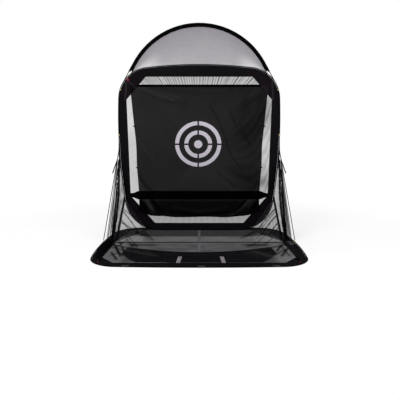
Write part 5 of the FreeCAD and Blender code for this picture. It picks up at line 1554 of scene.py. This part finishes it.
looseScrap = sewGrid("looseScrap", 40, 60, scrapPlace, (0.07, 0.16),
                     gather=lambda u, v: 0.25 + 0.3 * math.sin(u * 30.0))
dress(looseScrap, "bagNetting", "base")
print("side nets hung")

# floor, background and lamps
studio = {"floor": 0.85, "size": 60.0, "ambient": 0.53, "glow": 0.55, "near": 1.3, "far": 3.2}
lamps = {  # place, what it shines at, size and power
    "keyLamp": ((-3.2, -3.6, 4.2), (0.0, 0.2, 0.8), 3.0, 180.0),
    "fillLamp": ((3.6, -3.0, 2.6), (0.0, 0.2, 0.8), 3.0, 77.0),
    "topLamp": ((0.0, 0.5, 5.2), (0.0, 0.3, 0.0), 3.5, 102.0),
}


def seenPlain(tree):
    # 1 where the camera sees it straight, in a reflection or through glass
    rays = addNode(tree, "LightPath").outputs
    other = calc(tree, "MAXIMUM", rays["Is Glossy Ray"], rays["Is Transmission Ray"])
    return calc(tree, "MAXIMUM", rays["Is Camera Ray"], other)


bpy.ops.object.select_all(action="DESELECT")
bpy.ops.mesh.primitive_plane_add(size=studio["size"])
floor = bpy.context.view_layer.objects.active
floor.name = "studioFloor"
material, tree, shader, where = startMaterial("studioFloor", {"roughness": 0.95, "specular": 0.0})
feed(tree, (studio["floor"],) * 3, shader["Base Color"])
# white further out, where the lamps don't reach, and partly plain near the object, so that its shadow shows
away = addNode(tree, "VectorMath", {0: where["Object"]}, operation="LENGTH").outputs["Value"]
outer = addNode(tree, "MapRange", {
    "Value": away, "From Min": studio["near"], "From Max": studio["far"],
    "To Min": studio["glow"], "To Max": 1.0,
}, interpolation_type="SMOOTHSTEP").outputs["Result"]
glow = addNode(tree, "Emission", {"Strength": 1.0}).outputs[0]
lit = tree.nodes["Principled BSDF"].outputs[0]
both = addNode(tree, "MixShader", {
    0: calc(tree, "MULTIPLY", seenPlain(tree), outer), 1: lit, 2: glow,
}).outputs[0]
feed(tree, both, tree.nodes["Material Output"].inputs["Surface"])
floor.data.materials.append(material)

world = bpy.data.worlds.new("studio")
bpy.context.scene.world = world
world.use_nodes = True
tree = world.node_tree
background = tree.nodes["Background"].inputs
feed(tree, (1.0, 1.0, 1.0), background["Color"])
strength = calc(tree, "MULTIPLY_ADD", seenPlain(tree), 1.0 - studio["ambient"], studio["ambient"])
feed(tree, strength, background["Strength"])

for name, (place, target, size, power) in lamps.items():
    data = bpy.data.lights.new(name, "AREA")
    data.size = size
    data.energy = power
    lamp = bpy.data.objects.new(name, data)
    lamp.location = place
    lamp.rotation_euler = (Vector(target) - Vector(place)).to_track_quat("-Z", "Y").to_euler()
    bpy.context.scene.collection.objects.link(lamp)
bpy.context.scene.view_settings.view_transform = "Standard"
print("studio lit")
